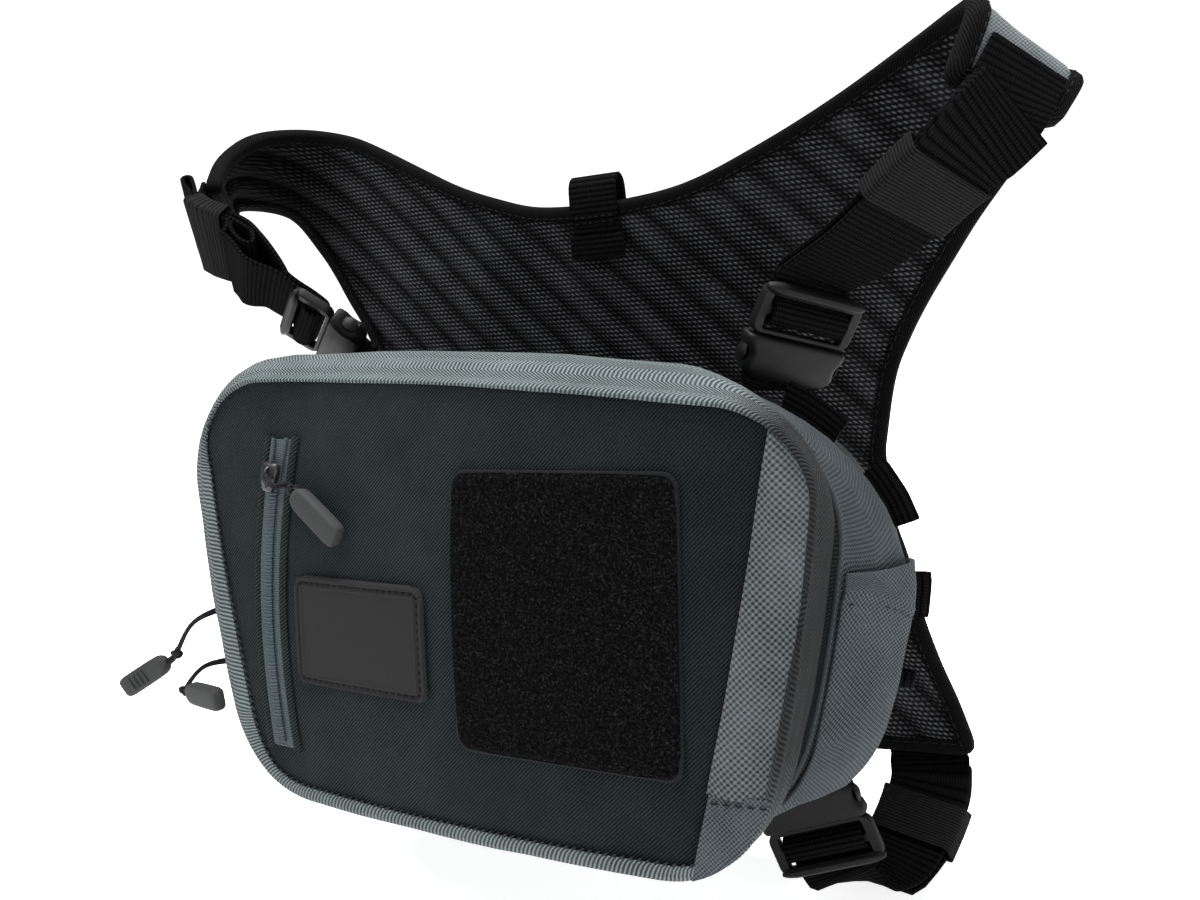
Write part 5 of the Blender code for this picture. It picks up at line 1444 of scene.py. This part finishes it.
def zip_pieces():
    """The front zip: tape, welts, coil, slider and pull."""
    tape_lift = FITTING_LIFT + TAPE_THICKNESS / 2
    grid = []
    for i in range(ZIP_STEPS + 1):
        x, z = zip_line(i / ZIP_STEPS)
        grid.append([face_point(x + FRONT_ZIP_TAPE * (k / 10 - 0.5), z, tape_lift - 0.0002)
                     for k in range(11)])
    cloth("front_tape", [grid], ZIP_CLOTH_WALL, "zip_slate", "front_zip_tape")
    for side, letter in PAIR:
        welt = []
        for i in range(ZIP_STEPS + 1):
            x, z = zip_line(-0.01 + 1.02 * i / ZIP_STEPS)
            line = []
            for k, lift in enumerate((0.0000, 0.0011, 0.0016, 0.0013, 0.0004)):
                line.append(face_point(x + side * (FRONT_ZIP_TAPE / 2 - 0.0004 + 0.0009 * k), z,
                                       CLOTH / 2 + 0.0002 + lift))
            welt.append(line)
        cloth("front_zip_welt_" + letter, [welt], ZIP_CLOTH_WALL, "panel_dark", flat=flat_xz)
    slider_share = SLIDER_START + SLIDER_LENGTH / FRONT_ZIP_LENGTH
    rings = []
    for n in range(COIL_TEETH * 4):
        share = slider_share + (0.985 - slider_share) * n / (COIL_TEETH * 4 - 1)
        x, z = zip_line(share)
        bulge = 0.5 + 0.5 * cos(2 * pi * n / 4)
        half = COIL_WIDTH / 2 * (0.80 + 0.20 * bulge)
        high = COIL_THICKNESS / 2 * (0.35 + 0.65 * bulge)
        centre = tape_lift + 0.0012
        rings.append([face_point(x + half * c, z, centre + high * s) for c, s in circle(10)])
    solid_loft("front_coil", rings, "zip_slate", "front_zip_coil")
    for side, letter in PAIR:
        run = []
        for i in range(14):
            share = -0.005 + (slider_share + 0.005) * i / 13
            x, z = zip_line(share)
            spread_out = 0.0022 * (1 - i / 13) ** 0.6 + 0.0011
            run.append(face_point(x + side * spread_out, z, tape_lift + 0.0009))
        rod("front_coil_open_" + letter, run, 0.0008, "zip_slate", sides=8)
    coil_lift = tape_lift + TAPE_THICKNESS / 2 + GAP + COIL_THICKNESS / 2
    slider_lift = coil_lift + COIL_THICKNESS / 2 + GAP + SLIDER_THICKNESS / 2
    high = face_point(*zip_line(SLIDER_START), slider_lift - 0.0010)
    low = face_point(*zip_line(slider_share), slider_lift - 0.0010)
    local = axes(low, high - low, Vector((1.0, 0.0, 0.0)))
    slider("front_slider", local, SLIDER_LENGTH, SLIDER_WIDTH, SLIDER_THICKNESS, "front_zip_slider")
    x, z = zip_line(SLIDER_START + 0.5 * SLIDER_LENGTH / FRONT_ZIP_LENGTH)
    cord_lift = slider_lift + SLIDER_THICKNESS / 2 + GAP + PULL_CORD / 2
    rest_lift = CLOTH / 2 + 3 * GAP + PULLER_THICKNESS / 2
    seat = face_point(x + 0.46 * PULLER_LENGTH, z - 0.22 * PULLER_LENGTH, rest_lift)
    ahead = face_point(x + 1.28 * PULLER_LENGTH, z - 0.80 * PULLER_LENGTH, rest_lift)
    way = (ahead - seat).normalized()
    cord_path = [face_point(x + 0.001, z + 0.001, cord_lift - 0.0006),
                 face_point(x + 0.24 * PULLER_LENGTH, z - 0.08 * PULLER_LENGTH, cord_lift),
                 seat - way * 0.005, seat + way * 0.002]
    pull_pieces("front", cord_path, seat, way, Vector((0.6, 0.0, 0.8)), "front_pull_cord",
                "front_puller")


def block_ring(half_x, half_y, level, corner):
    return [Vector((x, y, level)) for x, y in round_rectangle(half_x, -half_y, half_y, corner, 4)]


def block(name, local, profile, finish, *nodes):
    """A moulded block: (height, half width, half depth, corner) rows along the frame's Z."""
    rings = [[local @ p for p in block_ring(a, b, level, min(c, 0.95 * a, 0.95 * b))]
             for level, a, b, c in profile]
    return solid_loft(name, rings, finish, *nodes)


def slider(name, local, length, width, thickness, node):
    w = width / 2
    t = thickness / 2
    profile = []
    for share, wide, thick in SLIDER_PROFILE:
        profile.append((share * length, w * wide, t * thick, 0.0012))
    block(name, local, profile, "metal", node)
    bridge = []
    for i in range(11):
        angle = pi * i / 10
        bridge.append(local @ Vector((0.0, -t * 0.6 - 0.0018 * sin(angle),
                                      length * (0.5 - 0.32 * cos(angle)))))
    rod(name + "_bridge", bridge, 0.0007, "metal", sides=8)


def pull_pieces(name, path, seat, way, width, cord_node, puller_node):
    """A doubled cord with a knot and a moulded end."""
    fine = smooth_path(path, 8)
    side = way.cross(Vector((0.2, -1.0, 0.3))).normalized()
    for offset, letter in PAIR:
        strand = [p + side * 0.00075 * offset * (0.6 + 0.4 * cos(8 * i / len(fine)))
                  for i, p in enumerate(fine)]
        nodes = [cord_node] if letter == "a" else []
        rod("pull_cord_%s_%s" % (name, letter), strand, 0.00085, "cord", *nodes)
    knot_at = along(fine, 0.80)
    knot = []
    other = way.cross(side).normalized()
    for i in range(49):
        a = 2 * pi * i / 48
        knot.append(knot_at + side * KNOT_SIZE * (sin(a) + 2 * sin(2 * a))
                    + other * KNOT_SIZE * (cos(a) - 2 * cos(2 * a)) - way * KNOT_DEPTH * sin(3 * a))
    rod("pull_knot_" + name, knot, 0.00080, "cord", sides=8)
    local = axes(seat, way, width)
    w = PULLER_WIDTH / 2
    t = PULLER_THICKNESS / 2
    length = PULLER_LENGTH
    profile = [(-0.0002, 0.0014, 0.0014, 0.0013), (0.0005, 0.0026, 0.0020, 0.0018)]
    for share, wide in PULLER_PROFILE:
        thick = 0.88 if share < 0.9 else 0.88 * wide
        profile.append((share * length, w * wide, t * thick, 0.0016))
    block("puller_" + name, local, profile, "puller", puller_node)
    for n in range(4):
        level = length * (0.45 + 0.10 * n)
        ridge = [local @ Vector((w * 0.62 * (2 * i / 8 - 1), -t * 0.99, level)) for i in range(9)]
        rod("puller_ridge_%s_%d" % (name, n), ridge, 0.00035, "puller", sides=6)


def main_pull_pieces():
    """The main zip's two sliders with their pulls."""
    thickness = 0.7 * ZIP_WIDTH
    reach = 1.6 * SLIDER_THICKNESS
    for name, pull in PULLS.items():
        depth = BAND_END + GAP + ZIP_WIDTH / 2
        ring = section_ring(BAND_SECTIONS[-1]._replace(depth=0.0), depth, 0.0, ZIP_INSET)
        step = pull.turn * RING_STEPS
        seat = ring[int(step)].lerp(ring[int(step) + 1], step - int(step))
        tangent = (ring[int(step) + 1] - ring[int(step)]).normalized()
        normal = tangent.cross(FACE_OUT).normalized()
        out = normal if normal.x < 0 else -normal
        base = seat + out * (CLOTH / 2 + GAP)
        local = axes(base, out, tangent)
        profile = [(0.0, SLIDER_LENGTH / 2, thickness / 2, 0.0008),
                   (0.5 * reach, SLIDER_LENGTH / 2 * 0.96, thickness / 2 * 0.9, 0.0012),
                   (0.8 * reach, SLIDER_LENGTH / 2 * 0.5, thickness / 2 * 0.6, 0.0010),
                   (reach, SLIDER_LENGTH / 2 * 0.3, thickness / 2 * 0.4, 0.0006)]
        block("zip_slider_" + name, local, profile, "metal", "main_slider_" + name)
        head = base + out * (reach + GAP + PULL_CORD / 2)
        way = Vector(pull.heading).normalized()
        end = bag_share(pull.end)
        path = [head - out * 0.002, bag_share(pull.bend), end - way * 0.005, end + way * 0.002]
        pull_pieces("main_" + name, path, end, way, Vector((0.1, 0.0, 1.0)),
                    "main_pull_cord_" + name, "main_puller_" + name)


def level_turn(start, toward, depth, z):
    """The turn, from start on toward another, where the side wall at a depth reaches a height."""
    low, high = start, toward
    for _ in range(24):
        middle = (low + high) / 2
        if gusset_point(middle, depth).z < z:
            low = middle
        else:
            high = middle
    return (low + high) / 2


def pocket_pieces():
    """The open pockets on the front gusset's sides, with level hems."""
    lift = CLOTH + GAP + POCKET_PROUD
    for name, first, last in (("left", 0.085, 0.235), ("right", 0.665, 0.515)):
        toward = -1 if name == "left" else 1
        depths = [FRONT_GUSSET_START + FRONT_GUSSET_DEPTH * (0.01 + 0.95 * k / POCKET_COLUMNS)
                  for k in range(POCKET_COLUMNS + 1)]
        top = gusset_point(first + 0.010 * toward, depths[0]).z
        tops = [level_turn(first - 0.03 * toward, first + 0.09 * toward, depth,
                           top - HEM_DROP * k / POCKET_COLUMNS) for k, depth in enumerate(depths)]
        grid = []
        for i in range(POCKET_ROWS + 1):
            row = []
            for k in range(POCKET_COLUMNS + 1):
                turn = tops[k] + (last - tops[k]) * i / POCKET_ROWS
                swell = POCKET_PROUD * sin(pi * k / POCKET_COLUMNS)
                swell *= sin(pi * (0.15 + 0.85 * i / POCKET_ROWS))
                hem = 0.0005 if i < 5 else 0.0
                tuck = -0.0018 * max(0.0, 1 - min(k, POCKET_COLUMNS - k) / 1.5)
                row.append(gusset_point(turn, depths[k], lift + swell + hem + tuck))
            grid.append(row)
        cloth("pocket_" + name, [grid], SIDE_WALL, "fabric_grey", "side_pocket_" + name,
              height=lambda p: 0.0005 * soft(p, 60.0, 2.2))
        hem_line = [gusset_point(tops[k] + (last - tops[k]) * 5.5 / POCKET_ROWS, depths[k],
                                 lift + 0.0010 + POCKET_PROUD * sin(pi * k / POCKET_COLUMNS) * 0.5)
                    for k in range(POCKET_COLUMNS + 1)]
        out = Vector((-1.0 if name == "left" else 1.0, 0.0, 0.15))
        stitches("pocket_stitches_" + name, hem_line, [out], "thread_dark", POCKET_SEAM)


def side_loop_pieces():
    """Folded webbing tabs that stand out of the rear seam of each side."""
    per_turn = (FACE_WIDTH + FACE_HEIGHT) * 1.9
    middle = REAR_GUSSET_START + 0.22 * REAR_GUSSET_DEPTH
    layer = 0.55 * WEB_THICKNESS
    path = [(-layer, 0.0006), (-1.1 * layer, 0.22), (-1.5 * layer, 0.55), (-1.35 * layer, 0.84),
            (-0.6 * layer, 0.97), (0.0, 1.0), (0.6 * layer, 0.97), (1.35 * layer, 0.84),
            (1.5 * layer, 0.55), (1.1 * layer, 0.22), (layer, 0.0006)]
    for side, name in SIDES.items():
        for number, turn in enumerate(LOOP_TURNS, 1):
            here = turn if side > 0 else 0.762 - turn
            grid = []
            for off, out in path:
                row = []
                for k in range(9):
                    t = 2 * k / 8 - 1
                    lean = 0.0012 * out * sin(2.0 * t + number)
                    row.append(gusset_point(here + TAB_LENGTH / 2 * t / per_turn,
                                            middle + off + lean, CLOTH / 2 + out * TAB_PROUD))
                grid.append(row)
            cloth("loop_%s_%d" % (name, number), [grid], 0.75 * WEB_THICKNESS, "webbing",
                  "side_loop_%s_%d" % (name, number))


def harness_pieces():
    """The padded back panel: black mesh with sewn channels in front, grey cloth behind."""
    fine = ARM_FINE
    grids = [upper_arm(1, fine), upper_arm(-1, fine), lower_arm(1, fine), lower_arm(-1, fine),
             harness_centre(fine)]
    middle = grid_mesh("harness_pad", grids, False, flat_xz)
    frames = rim_frames(middle)
    lookup = KDTree(len(frames))
    for i, station in enumerate(frames):
        lookup.insert(station[0], i)
    lookup.balance()
    shell = bmesh.new()
    shell.from_mesh(middle)
    facing = front_sign(middle)
    built = bmesh.new()
    uv = built.loops.layers.uv.new("cloth")
    front = {}
    back = {}
    for v in shell.verts:
        normal = v.normal * facing
        distance = lookup.find(v.co)[2]
        soft_edge = min(1.0, 0.45 + distance / 0.010)
        groove = abs(sin(pi * (v.co.x + v.co.z) / QUILT_PITCH)) ** 0.8
        quilt = (1 - groove) * 0.0030 * min(1.0, distance / 0.008)
        pillow = 0.0006 * soft(v.co, 40.0, 8.0)
        half = HARNESS_PAD / 2 * soft_edge
        front[v] = built.verts.new(v.co + normal * (half - quilt + pillow))
        back[v] = built.verts.new(v.co - normal * (half - 0.4 * quilt + pillow))
    for f in shell.faces:
        a = built.faces.new([front[v] for v in f.verts])
        b = built.faces.new([back[v] for v in list(f.verts)[::-1]])
        b.material_index = 1
        for face in (a, b):
            face.smooth = True
            for loop in face.loops:
                loop[uv].uv = (loop.vert.co.x, loop.vert.co.z)
    for e in [e for e in shell.edges if e.is_boundary]:
        p, q = e.verts
        made = built.faces.new([front[p], front[q], back[q], back[p]])
        made.smooth = True
    bmesh.ops.recalc_face_normals(built, faces=built.faces)
    mesh = bpy.data.meshes.new("harness_pad_cloth")
    built.to_mesh(mesh)
    built.free()
    shell.free()
    mesh.materials.append(FINISHES["mesh_black"])
    mesh.materials.append(FINISHES["outer_grey"])
    item = bpy.data.objects.new("harness_pad_cloth", mesh)
    finish_piece(item, "mesh_black", "harness_panel")
    binding_pieces(frames)


def binding_pieces(frames):
    """The tape folded round the harness rim and the row of stitches on each side of it."""
    rings = []
    for point, outward, normal in frames:
        rings.append([point + outward * o + normal * n * BINDING_WIDTH for o, n in BINDING_PROFILE])
    solid_loft("harness_tape", rings, "binding", "harness_binding", closed_path=True)
    for name, sign in (("front", 1.0), ("rear", -1.0)):
        path = [point - outward * 0.0018 + normal * sign * BINDING_WIDTH * 0.475
                for point, outward, normal in frames]
        outs = [normal * sign for point, outward, normal in frames]
        stitches("binding_stitches_" + name, path + [path[0]], outs, "thread_dark", BINDING_SEAM)


def front_sign(panel):
    """1 where a panel's own normals face the front of the bag, -1 where they face its back."""
    return 1.0 if sum(v.normal.y for v in panel.vertices) < 0 else -1.0


def rim_frames(panel):
    """Stations round the harness rim: the point, the way outward and the panel's front normal."""
    stations = []
    for side in (1, -1):
        upper = upper_arm(side, ARM_FINE)
        lower = lower_arm(side, ARM_FINE)
        run = []
        for grid in (upper, lower):
            run += grid[-1][:-1] + [row[-1] for row in grid[::-1]][:-1] + grid[0][::-1][:-1]
        run.append(spot(LOWER_DIP))
        stations.append(run)
    points = stations[0][:-1] + stations[1][::-1][:-1]
    smooth = []
    count = len(points)
    lookup = KDTree(len(panel.vertices))
    for vertex in panel.vertices:
        lookup.insert(vertex.co, vertex.index)
    lookup.balance()
    neighbours = {}
    for polygon in panel.polygons:
        for index in polygon.vertices:
            neighbours.setdefault(index, []).append(polygon.center)
    facing = front_sign(panel)
    for i, point in enumerate(points):
        index = lookup.find(point)[1]
        normal = panel.vertices[index].normal * facing
        inner = sum(neighbours[index], Vector()) / len(neighbours[index])
        tangent = (points[(i + 1) % count] - points[i - 1]).normalized()
        outward = point - inner
        outward = outward - outward.dot(tangent) * tangent
        outward = (outward - outward.dot(normal) * normal).normalized()
        smooth.append((point, outward, normal))
    for _ in range(3):
        eased = []
        for i in range(count):
            point, outward, normal = smooth[i]
            before = smooth[i - 1]
            after = smooth[(i + 1) % count]
            eased.append((point.lerp(before[0].lerp(after[0], 0.5), 0.35),
                          (before[1] + outward * 2 + after[1]).normalized(),
                          (before[2] + normal * 2 + after[2]).normalized()))
        smooth = eased
    return smooth


def hang_loop_pieces():
    """The webbing loop over the harness's upper dip and the blank label below it."""
    dip = spot(DIP)
    on_panel = HARNESS_PAD / 2 + 2 * GAP + WEB_THICKNESS / 2
    over_tape = BINDING_WIDTH / 2 + 2 * GAP + WEB_THICKNESS / 2
    rise = HANG_LOOP_RISE
    path = [(-on_panel, -0.62), (-on_panel, -0.35), (-over_tape, -0.10), (-over_tape, 0.30),
            (-0.8 * over_tape, 0.85), (0.0, 1.05), (0.8 * over_tape, 0.85), (over_tape, 0.30),
            (over_tape, -0.10), (on_panel, -0.35), (on_panel, -0.62)]
    waist = spot(WAIST)
    slope = (waist.y - dip.y) / (dip.z - waist.z)
    centres = smooth_path([dip + Vector((0.0, y - slope * min(z, 0.0) * rise, z * rise))
                           for y, z in path], 5)
    along_edge = (spot(RIGHT_TOP_EDGE[0]) - spot(LEFT_TOP_EDGE[0])).normalized()
    half = Vector((along_edge.x, along_edge.y, 0.0)) * HANG_LOOP_WIDTH / 2
    rings = webbing_rings([[p - half, p + half] for p in centres])
    solid_loft("hang_webbing", rings, "webbing", "hang_loop")
    for level in (-0.15, -0.32):
        sunk = 0.0004 if level < -0.2 else 0.0
        base = dip + Vector((0.0, sunk - over_tape - WEB_THICKNESS / 2, level * rise))
        line = [base - half * 0.85, base, base + half * 0.85]
        stitches("hang_stitches_%d" % int(-level * 100), line, [Vector((0.0, -1.0, 0.0))],
                 "thread_dark", HANG_SEAM)
    top = dip + Vector((0.0, -on_panel, -0.62 * rise - 2 * GAP))
    side = half * LABEL_WIDTH / HANG_LOOP_WIDTH
    grid = []
    for i in range(9):
        t = i / 8
        level = top - Vector((0.0, -0.0006 * t + 0.0005 * sin(pi * t), LABEL_HEIGHT * t))
        grid.append([level + side * (2 * k / 10 - 1) for k in range(11)])
    cloth("label", [grid], 0.0010, "webbing", "label_tab")


def buckle_piece(name):
    """The frame, with its thick bar, and the body of a side-release buckle."""
    local = buckle_frame(name)
    half = BUCKLE_WIDTH / 2
    slot_half = WEB_WIDTH / 2 + 3 * GAP
    bar_low = LOW_BAR + (FRAME_LENGTH - LOW_BAR - TOP_BAR - MIDDLE_BAR) / 2
    bar_high = bar_low + MIDDLE_BAR
    soft_rim = 0.0007
    outlines = [round_rectangle(half - soft_rim, soft_rim, FRAME_LENGTH - soft_rim, 0.0035, 6)]
    for low, high in ((LOW_BAR, bar_low), (bar_high, FRAME_LENGTH - TOP_BAR)):
        outlines.append(round_rectangle(slot_half + soft_rim, low - soft_rim, high + soft_rim,
                                        0.0015, 6))
    curve = bpy.data.curves.new("frame_" + name, "CURVE")
    curve.dimensions = "2D"
    curve.fill_mode = "BOTH"
    curve.extrude = FRAME_THICKNESS / 2 - soft_rim
    curve.bevel_depth = soft_rim
    curve.bevel_resolution = 3
    for points in outlines:
        spline = curve.splines.new("POLY")
        spline.points.add(len(points) - 1)
        for target, (x, y) in zip(spline.points, points):
            target.co = (x, y, 0.0, 1.0)
        spline.use_cyclic_u = True
    item = bpy.data.objects.new("frame_" + name, curve)
    item.matrix_world = local
    finish_piece(item, "buckle", "buckle_frame_" + name)
    bar = []
    for i in range(25):
        t = i / 24
        x = half * (2 * t - 1)
        taper = min(1.0, 7 * t, 7 * (1 - t)) ** 0.5
        across = 0.35 + 0.65 * taper
        outward = FRAME_THICKNESS / 2 * (0.55 + 0.45 * taper) * 0.85
        bar.append([local @ Vector((x * 0.995, FRAME_LENGTH - 0.0012 + y * across,
                                    0.001 + z * outward)) for y, z in BAR_PROFILE])
    solid_loft("frame_bar_" + name, bar, "buckle", bevel=0.0005)
    rings = []
    for share, wide, thick in BODY_PROFILE:
        level = -GAP - BODY_LENGTH * (1 - share)
        rings.append([local @ Vector((p.x, level, p.y))
                      for p in block_ring(half * wide, BUCKLE_THICKNESS / 2 * thick, 0.0, 0.0030)])
    solid_loft("body_" + name, rings, "buckle", "buckle_body_" + name)
    for side, letter in PAIR:
        prong = []
        for i in range(9):
            t = i / 8
            prong.append(local @ Vector((side * (half * 0.93 + 0.0006 * sin(pi * t)),
                                         -0.0045 - 0.0065 * t, 0.0)))
        rings = []
        for j, p in enumerate(prong):
            swell = 0.55 + 0.45 * sin(pi * j / 8)
            rings.append([p + local.to_3x3() @ Vector((0.0007 * swell * c, 0.0, 0.0030 * swell * s))
                          for c, s in circle(10)])
        solid_loft("prong_%s_%s" % (name, letter), rings, "buckle")


def tab_piece(name):
    """The webbing that holds a buckle's body to the bag."""
    tab = TABS[name]
    local = buckle_frame(name)
    way = local.to_3x3() @ Vector((1.0, 0.0, 0.0))
    start = -BODY_LENGTH - 2 * GAP
    rows = []
    for run in (0.0, 0.0015):
        base = local @ Vector((0.0, start - run + 0.0015, 0.0))
        rows.append([base + way * WEB_WIDTH * k for k in TAB_COLUMNS])
    depth = BAG_DEPTH + base.y - 0.6 * base.z * sin(FACE_LEAN)
    lift = CLOTH / 2 + 3 * GAP + WEB_THICKNESS / 2
    turns = [tab.first + (tab.last - tab.first) * i / 40 for i in range(41)]
    nearest = min(turns, key=lambda turn: (gusset_point(turn, depth, lift) - base).length)
    inward = 1 if tab.last > tab.first else -1
    per_turn = 2 * (FACE_WIDTH + FACE_HEIGHT) * 0.95
    for run in (0.007, 0.012, 0.017):
        line = []
        for k in TAB_COLUMNS:
            if tab.round:
                line.append(gusset_point(nearest + inward * run / per_turn, depth + WEB_WIDTH * k,
                                         lift))
            else:
                line.append(gusset_point(nearest + WEB_WIDTH * k / per_turn, depth + run, lift))
        rows.append(line if (line[-1] - line[0]).dot(way) > 0 else line[::-1])
    columns = [smooth_path([row[k] for row in rows], 5) for k in range(5)]
    grid = [smooth_path(list(row), 3) for row in zip(*columns)]
    cloth("tab_" + name, [grid], WEB_THICKNESS, "webbing", "bag_tab_" + name)


def keeper_piece(name, rows, first, last, depth):
    """The elastic sleeve that holds a strap's loose end."""
    inner_x = WEB_WIDTH / 2 + 2.5 * GAP + KEEPER_THICKNESS / 2
    inner_y = depth / 2 + WEB_THICKNESS / 2 + 2 * GAP + KEEPER_THICKNESS / 2
    grid = []
    for i in range(13):
        centre, tangent, way, normal = line_frame(rows, first + (last - first) * i / 12)
        middle = centre + normal * depth / 2
        grid.append([middle + way * x + normal * y
                     for x, y in round_rectangle(inner_x, -inner_y, inner_y, 0.0016, 5)])
    cloth(name + "_elastic", [grid], KEEPER_THICKNESS, "elastic", name, closed=True)


def strap_pieces(name):
    """A strap from its loose end through the buckle to the arm, with its keeper."""
    sewn = sewn_line(name)
    if name == "shoulder_strap_left":
        keeper = LEFT_TAIL
        hump = ROLL_HEIGHT + STACK
        out = spread([(0.0, LAYER_STEP), (0.13, hump), (0.30, hump),
                      (keeper.keeper_start - 0.025, STACK), (keeper.fold, STACK)], 3)
        centre, tangent, way, normal = line_frame(sewn, keeper.fold)
        loop = []
        for ahead, off in ((0.25, 1.15), (0.65, 1.8), (1.00, 2.0), (1.14, 1.6), (1.05, 1.15),
                           (0.70, 0.85), (0.25, 0.55)):
            loop.append(row_at(centre + tangent * ROLL_LENGTH * ahead + normal * STACK * off, way))
        back = spread([(keeper.fold, LAYER_PITCH), (keeper.keeper_start, LAYER_PITCH)], 2)
        tail = layer_rows(sewn, out) + loop + layer_rows(sewn, back)
        tail += roll_rows(sewn, 0.235, hump / 2)
    else:
        keeper = TAILS[name]
        out = spread([(0.0, LAYER_STEP), (keeper.keeper_start, STACK), (keeper.keeper_end, STACK),
                      (keeper.fold, STACK)], 2)
        back = spread([(keeper.fold, LAYER_PITCH), (keeper.keeper_end, LAYER_PITCH),
                       (keeper.keeper_start + 0.02, LAYER_PITCH)], 2)
        tail = layer_rows(sewn, out)[:-1] + fold_rows(sewn, keeper.fold, LAYER_PITCH, STACK)
        tail += layer_rows(sewn, back)[1:]
    rows = tail[::-1] + threaded_rows(name) + sewn
    edges = [smooth_path([row[k] for row in rows], 3) for k in (0, 2)]
    solid_loft(name + "_webbing", webbing_rings(list(zip(*edges))), "webbing", name)
    keeper_piece(name.replace("strap", "keeper"), sewn, keeper.keeper_start, keeper.keeper_end,
                 STACK)


def build():
    """Every piece of the pack, each riding its body and standing for its nodes."""
    face_pieces()
    wall_pieces()
    back_pieces()
    patch_piece()
    loop_piece()
    zip_pieces()
    main_pull_pieces()
    pocket_pieces()
    side_loop_pieces()
    harness_pieces()
    hang_loop_pieces()
    for name in BUCKLES:
        buckle_piece(name)
        tab_piece(name)
    for name in STRAPS:
        strap_pieces(name)


def stage():
    """The pale floor, the white surround and three area lights."""
    low = CAD_BOX[0].z - 0.004
    mesh = bpy.data.meshes.new("floor")
    mesh.from_pydata([(-6, -6, low), (6, -6, low), (6, 6, low), (-6, 6, low)], [], [(0, 1, 2, 3)])
    floor_item = bpy.data.objects.new("floor", mesh)
    bpy.context.scene.collection.objects.link(floor_item)
    shade = Shade("pale_floor")
    tone = shade.noise(3.0, 3.0, 0.5)
    shade.look(Base_Color=shade.mix(tone, (0.86, 0.86, 0.86, 1.0), (0.90, 0.90, 0.90, 1.0)),
               Roughness=0.9, Emission_Color=(1.0, 1.0, 1.0, 1.0), Emission_Strength=0.80)
    mesh.materials.append(shade.made)
    world = bpy.data.worlds.new("studio")
    world.use_nodes = True
    tree = world.node_tree
    surround = tree.nodes["Background"]
    surround.inputs[0].default_value = (0.97, 0.985, 1.0, 1.0)
    surround.inputs[1].default_value = 0.30
    backdrop = tree.nodes.new("ShaderNodeBackground")
    backdrop.inputs[1].default_value = 1.6
    seen = tree.nodes.new("ShaderNodeLightPath")
    choose = tree.nodes.new("ShaderNodeMixShader")
    tree.links.new(seen.outputs["Is Camera Ray"], choose.inputs[0])
    tree.links.new(surround.outputs[0], choose.inputs[1])
    tree.links.new(backdrop.outputs[0], choose.inputs[2])
    tree.links.new(choose.outputs[0], tree.nodes["World Output"].inputs[0])
    bpy.context.scene.world = world
    bpy.context.scene.view_settings.view_transform = "Standard"
    for name, at, aim, size, power in (
            ("key", (-0.55, -0.80, 1.30), (-0.05, -0.05, 0.05), 0.55, 15.0),
            ("fill", (1.2, -0.8, 0.45), (0.0, 0.0, 0.0), 0.8, 4.5),
            ("top", (0.15, 0.05, 1.8), (0.0, 0.0, 0.0), 1.1, 88.0)):
        light = bpy.data.lights.new(name, "AREA")
        light.shape = "SQUARE"
        light.size = size
        light.energy = power
        item = bpy.data.objects.new(name, light)
        item.location = at
        item.rotation_euler = (Vector(aim) - Vector(at)).to_track_quat("-Z", "Y").to_euler()
        bpy.context.scene.collection.objects.link(item)


def photo_camera():
    """The photo's camera, with the places found from the pack's outline in the photo."""
    camera = bpy.data.cameras.new("photo_camera")
    camera.lens = 30.0
    camera.sensor_width = 36.0
    camera.clip_start = 0.01
    item = bpy.data.objects.new("photo_camera", camera)
    ahead = Vector((-0.4687, 0.8652, -0.1780)).normalized()
    right = Vector((0.8833, 0.4602, -0.0893))
    right = (right - right.dot(ahead) * ahead).normalized()
    up = right.cross(ahead)
    item.matrix_world = (Matrix.Translation((0.2041, -0.3680, 0.1135))
                         @ Matrix((right, up, -ahead)).transposed().to_4x4())
    bpy.context.scene.collection.objects.link(item)
    bpy.context.scene.camera = item


build()
stage()
photo_camera()
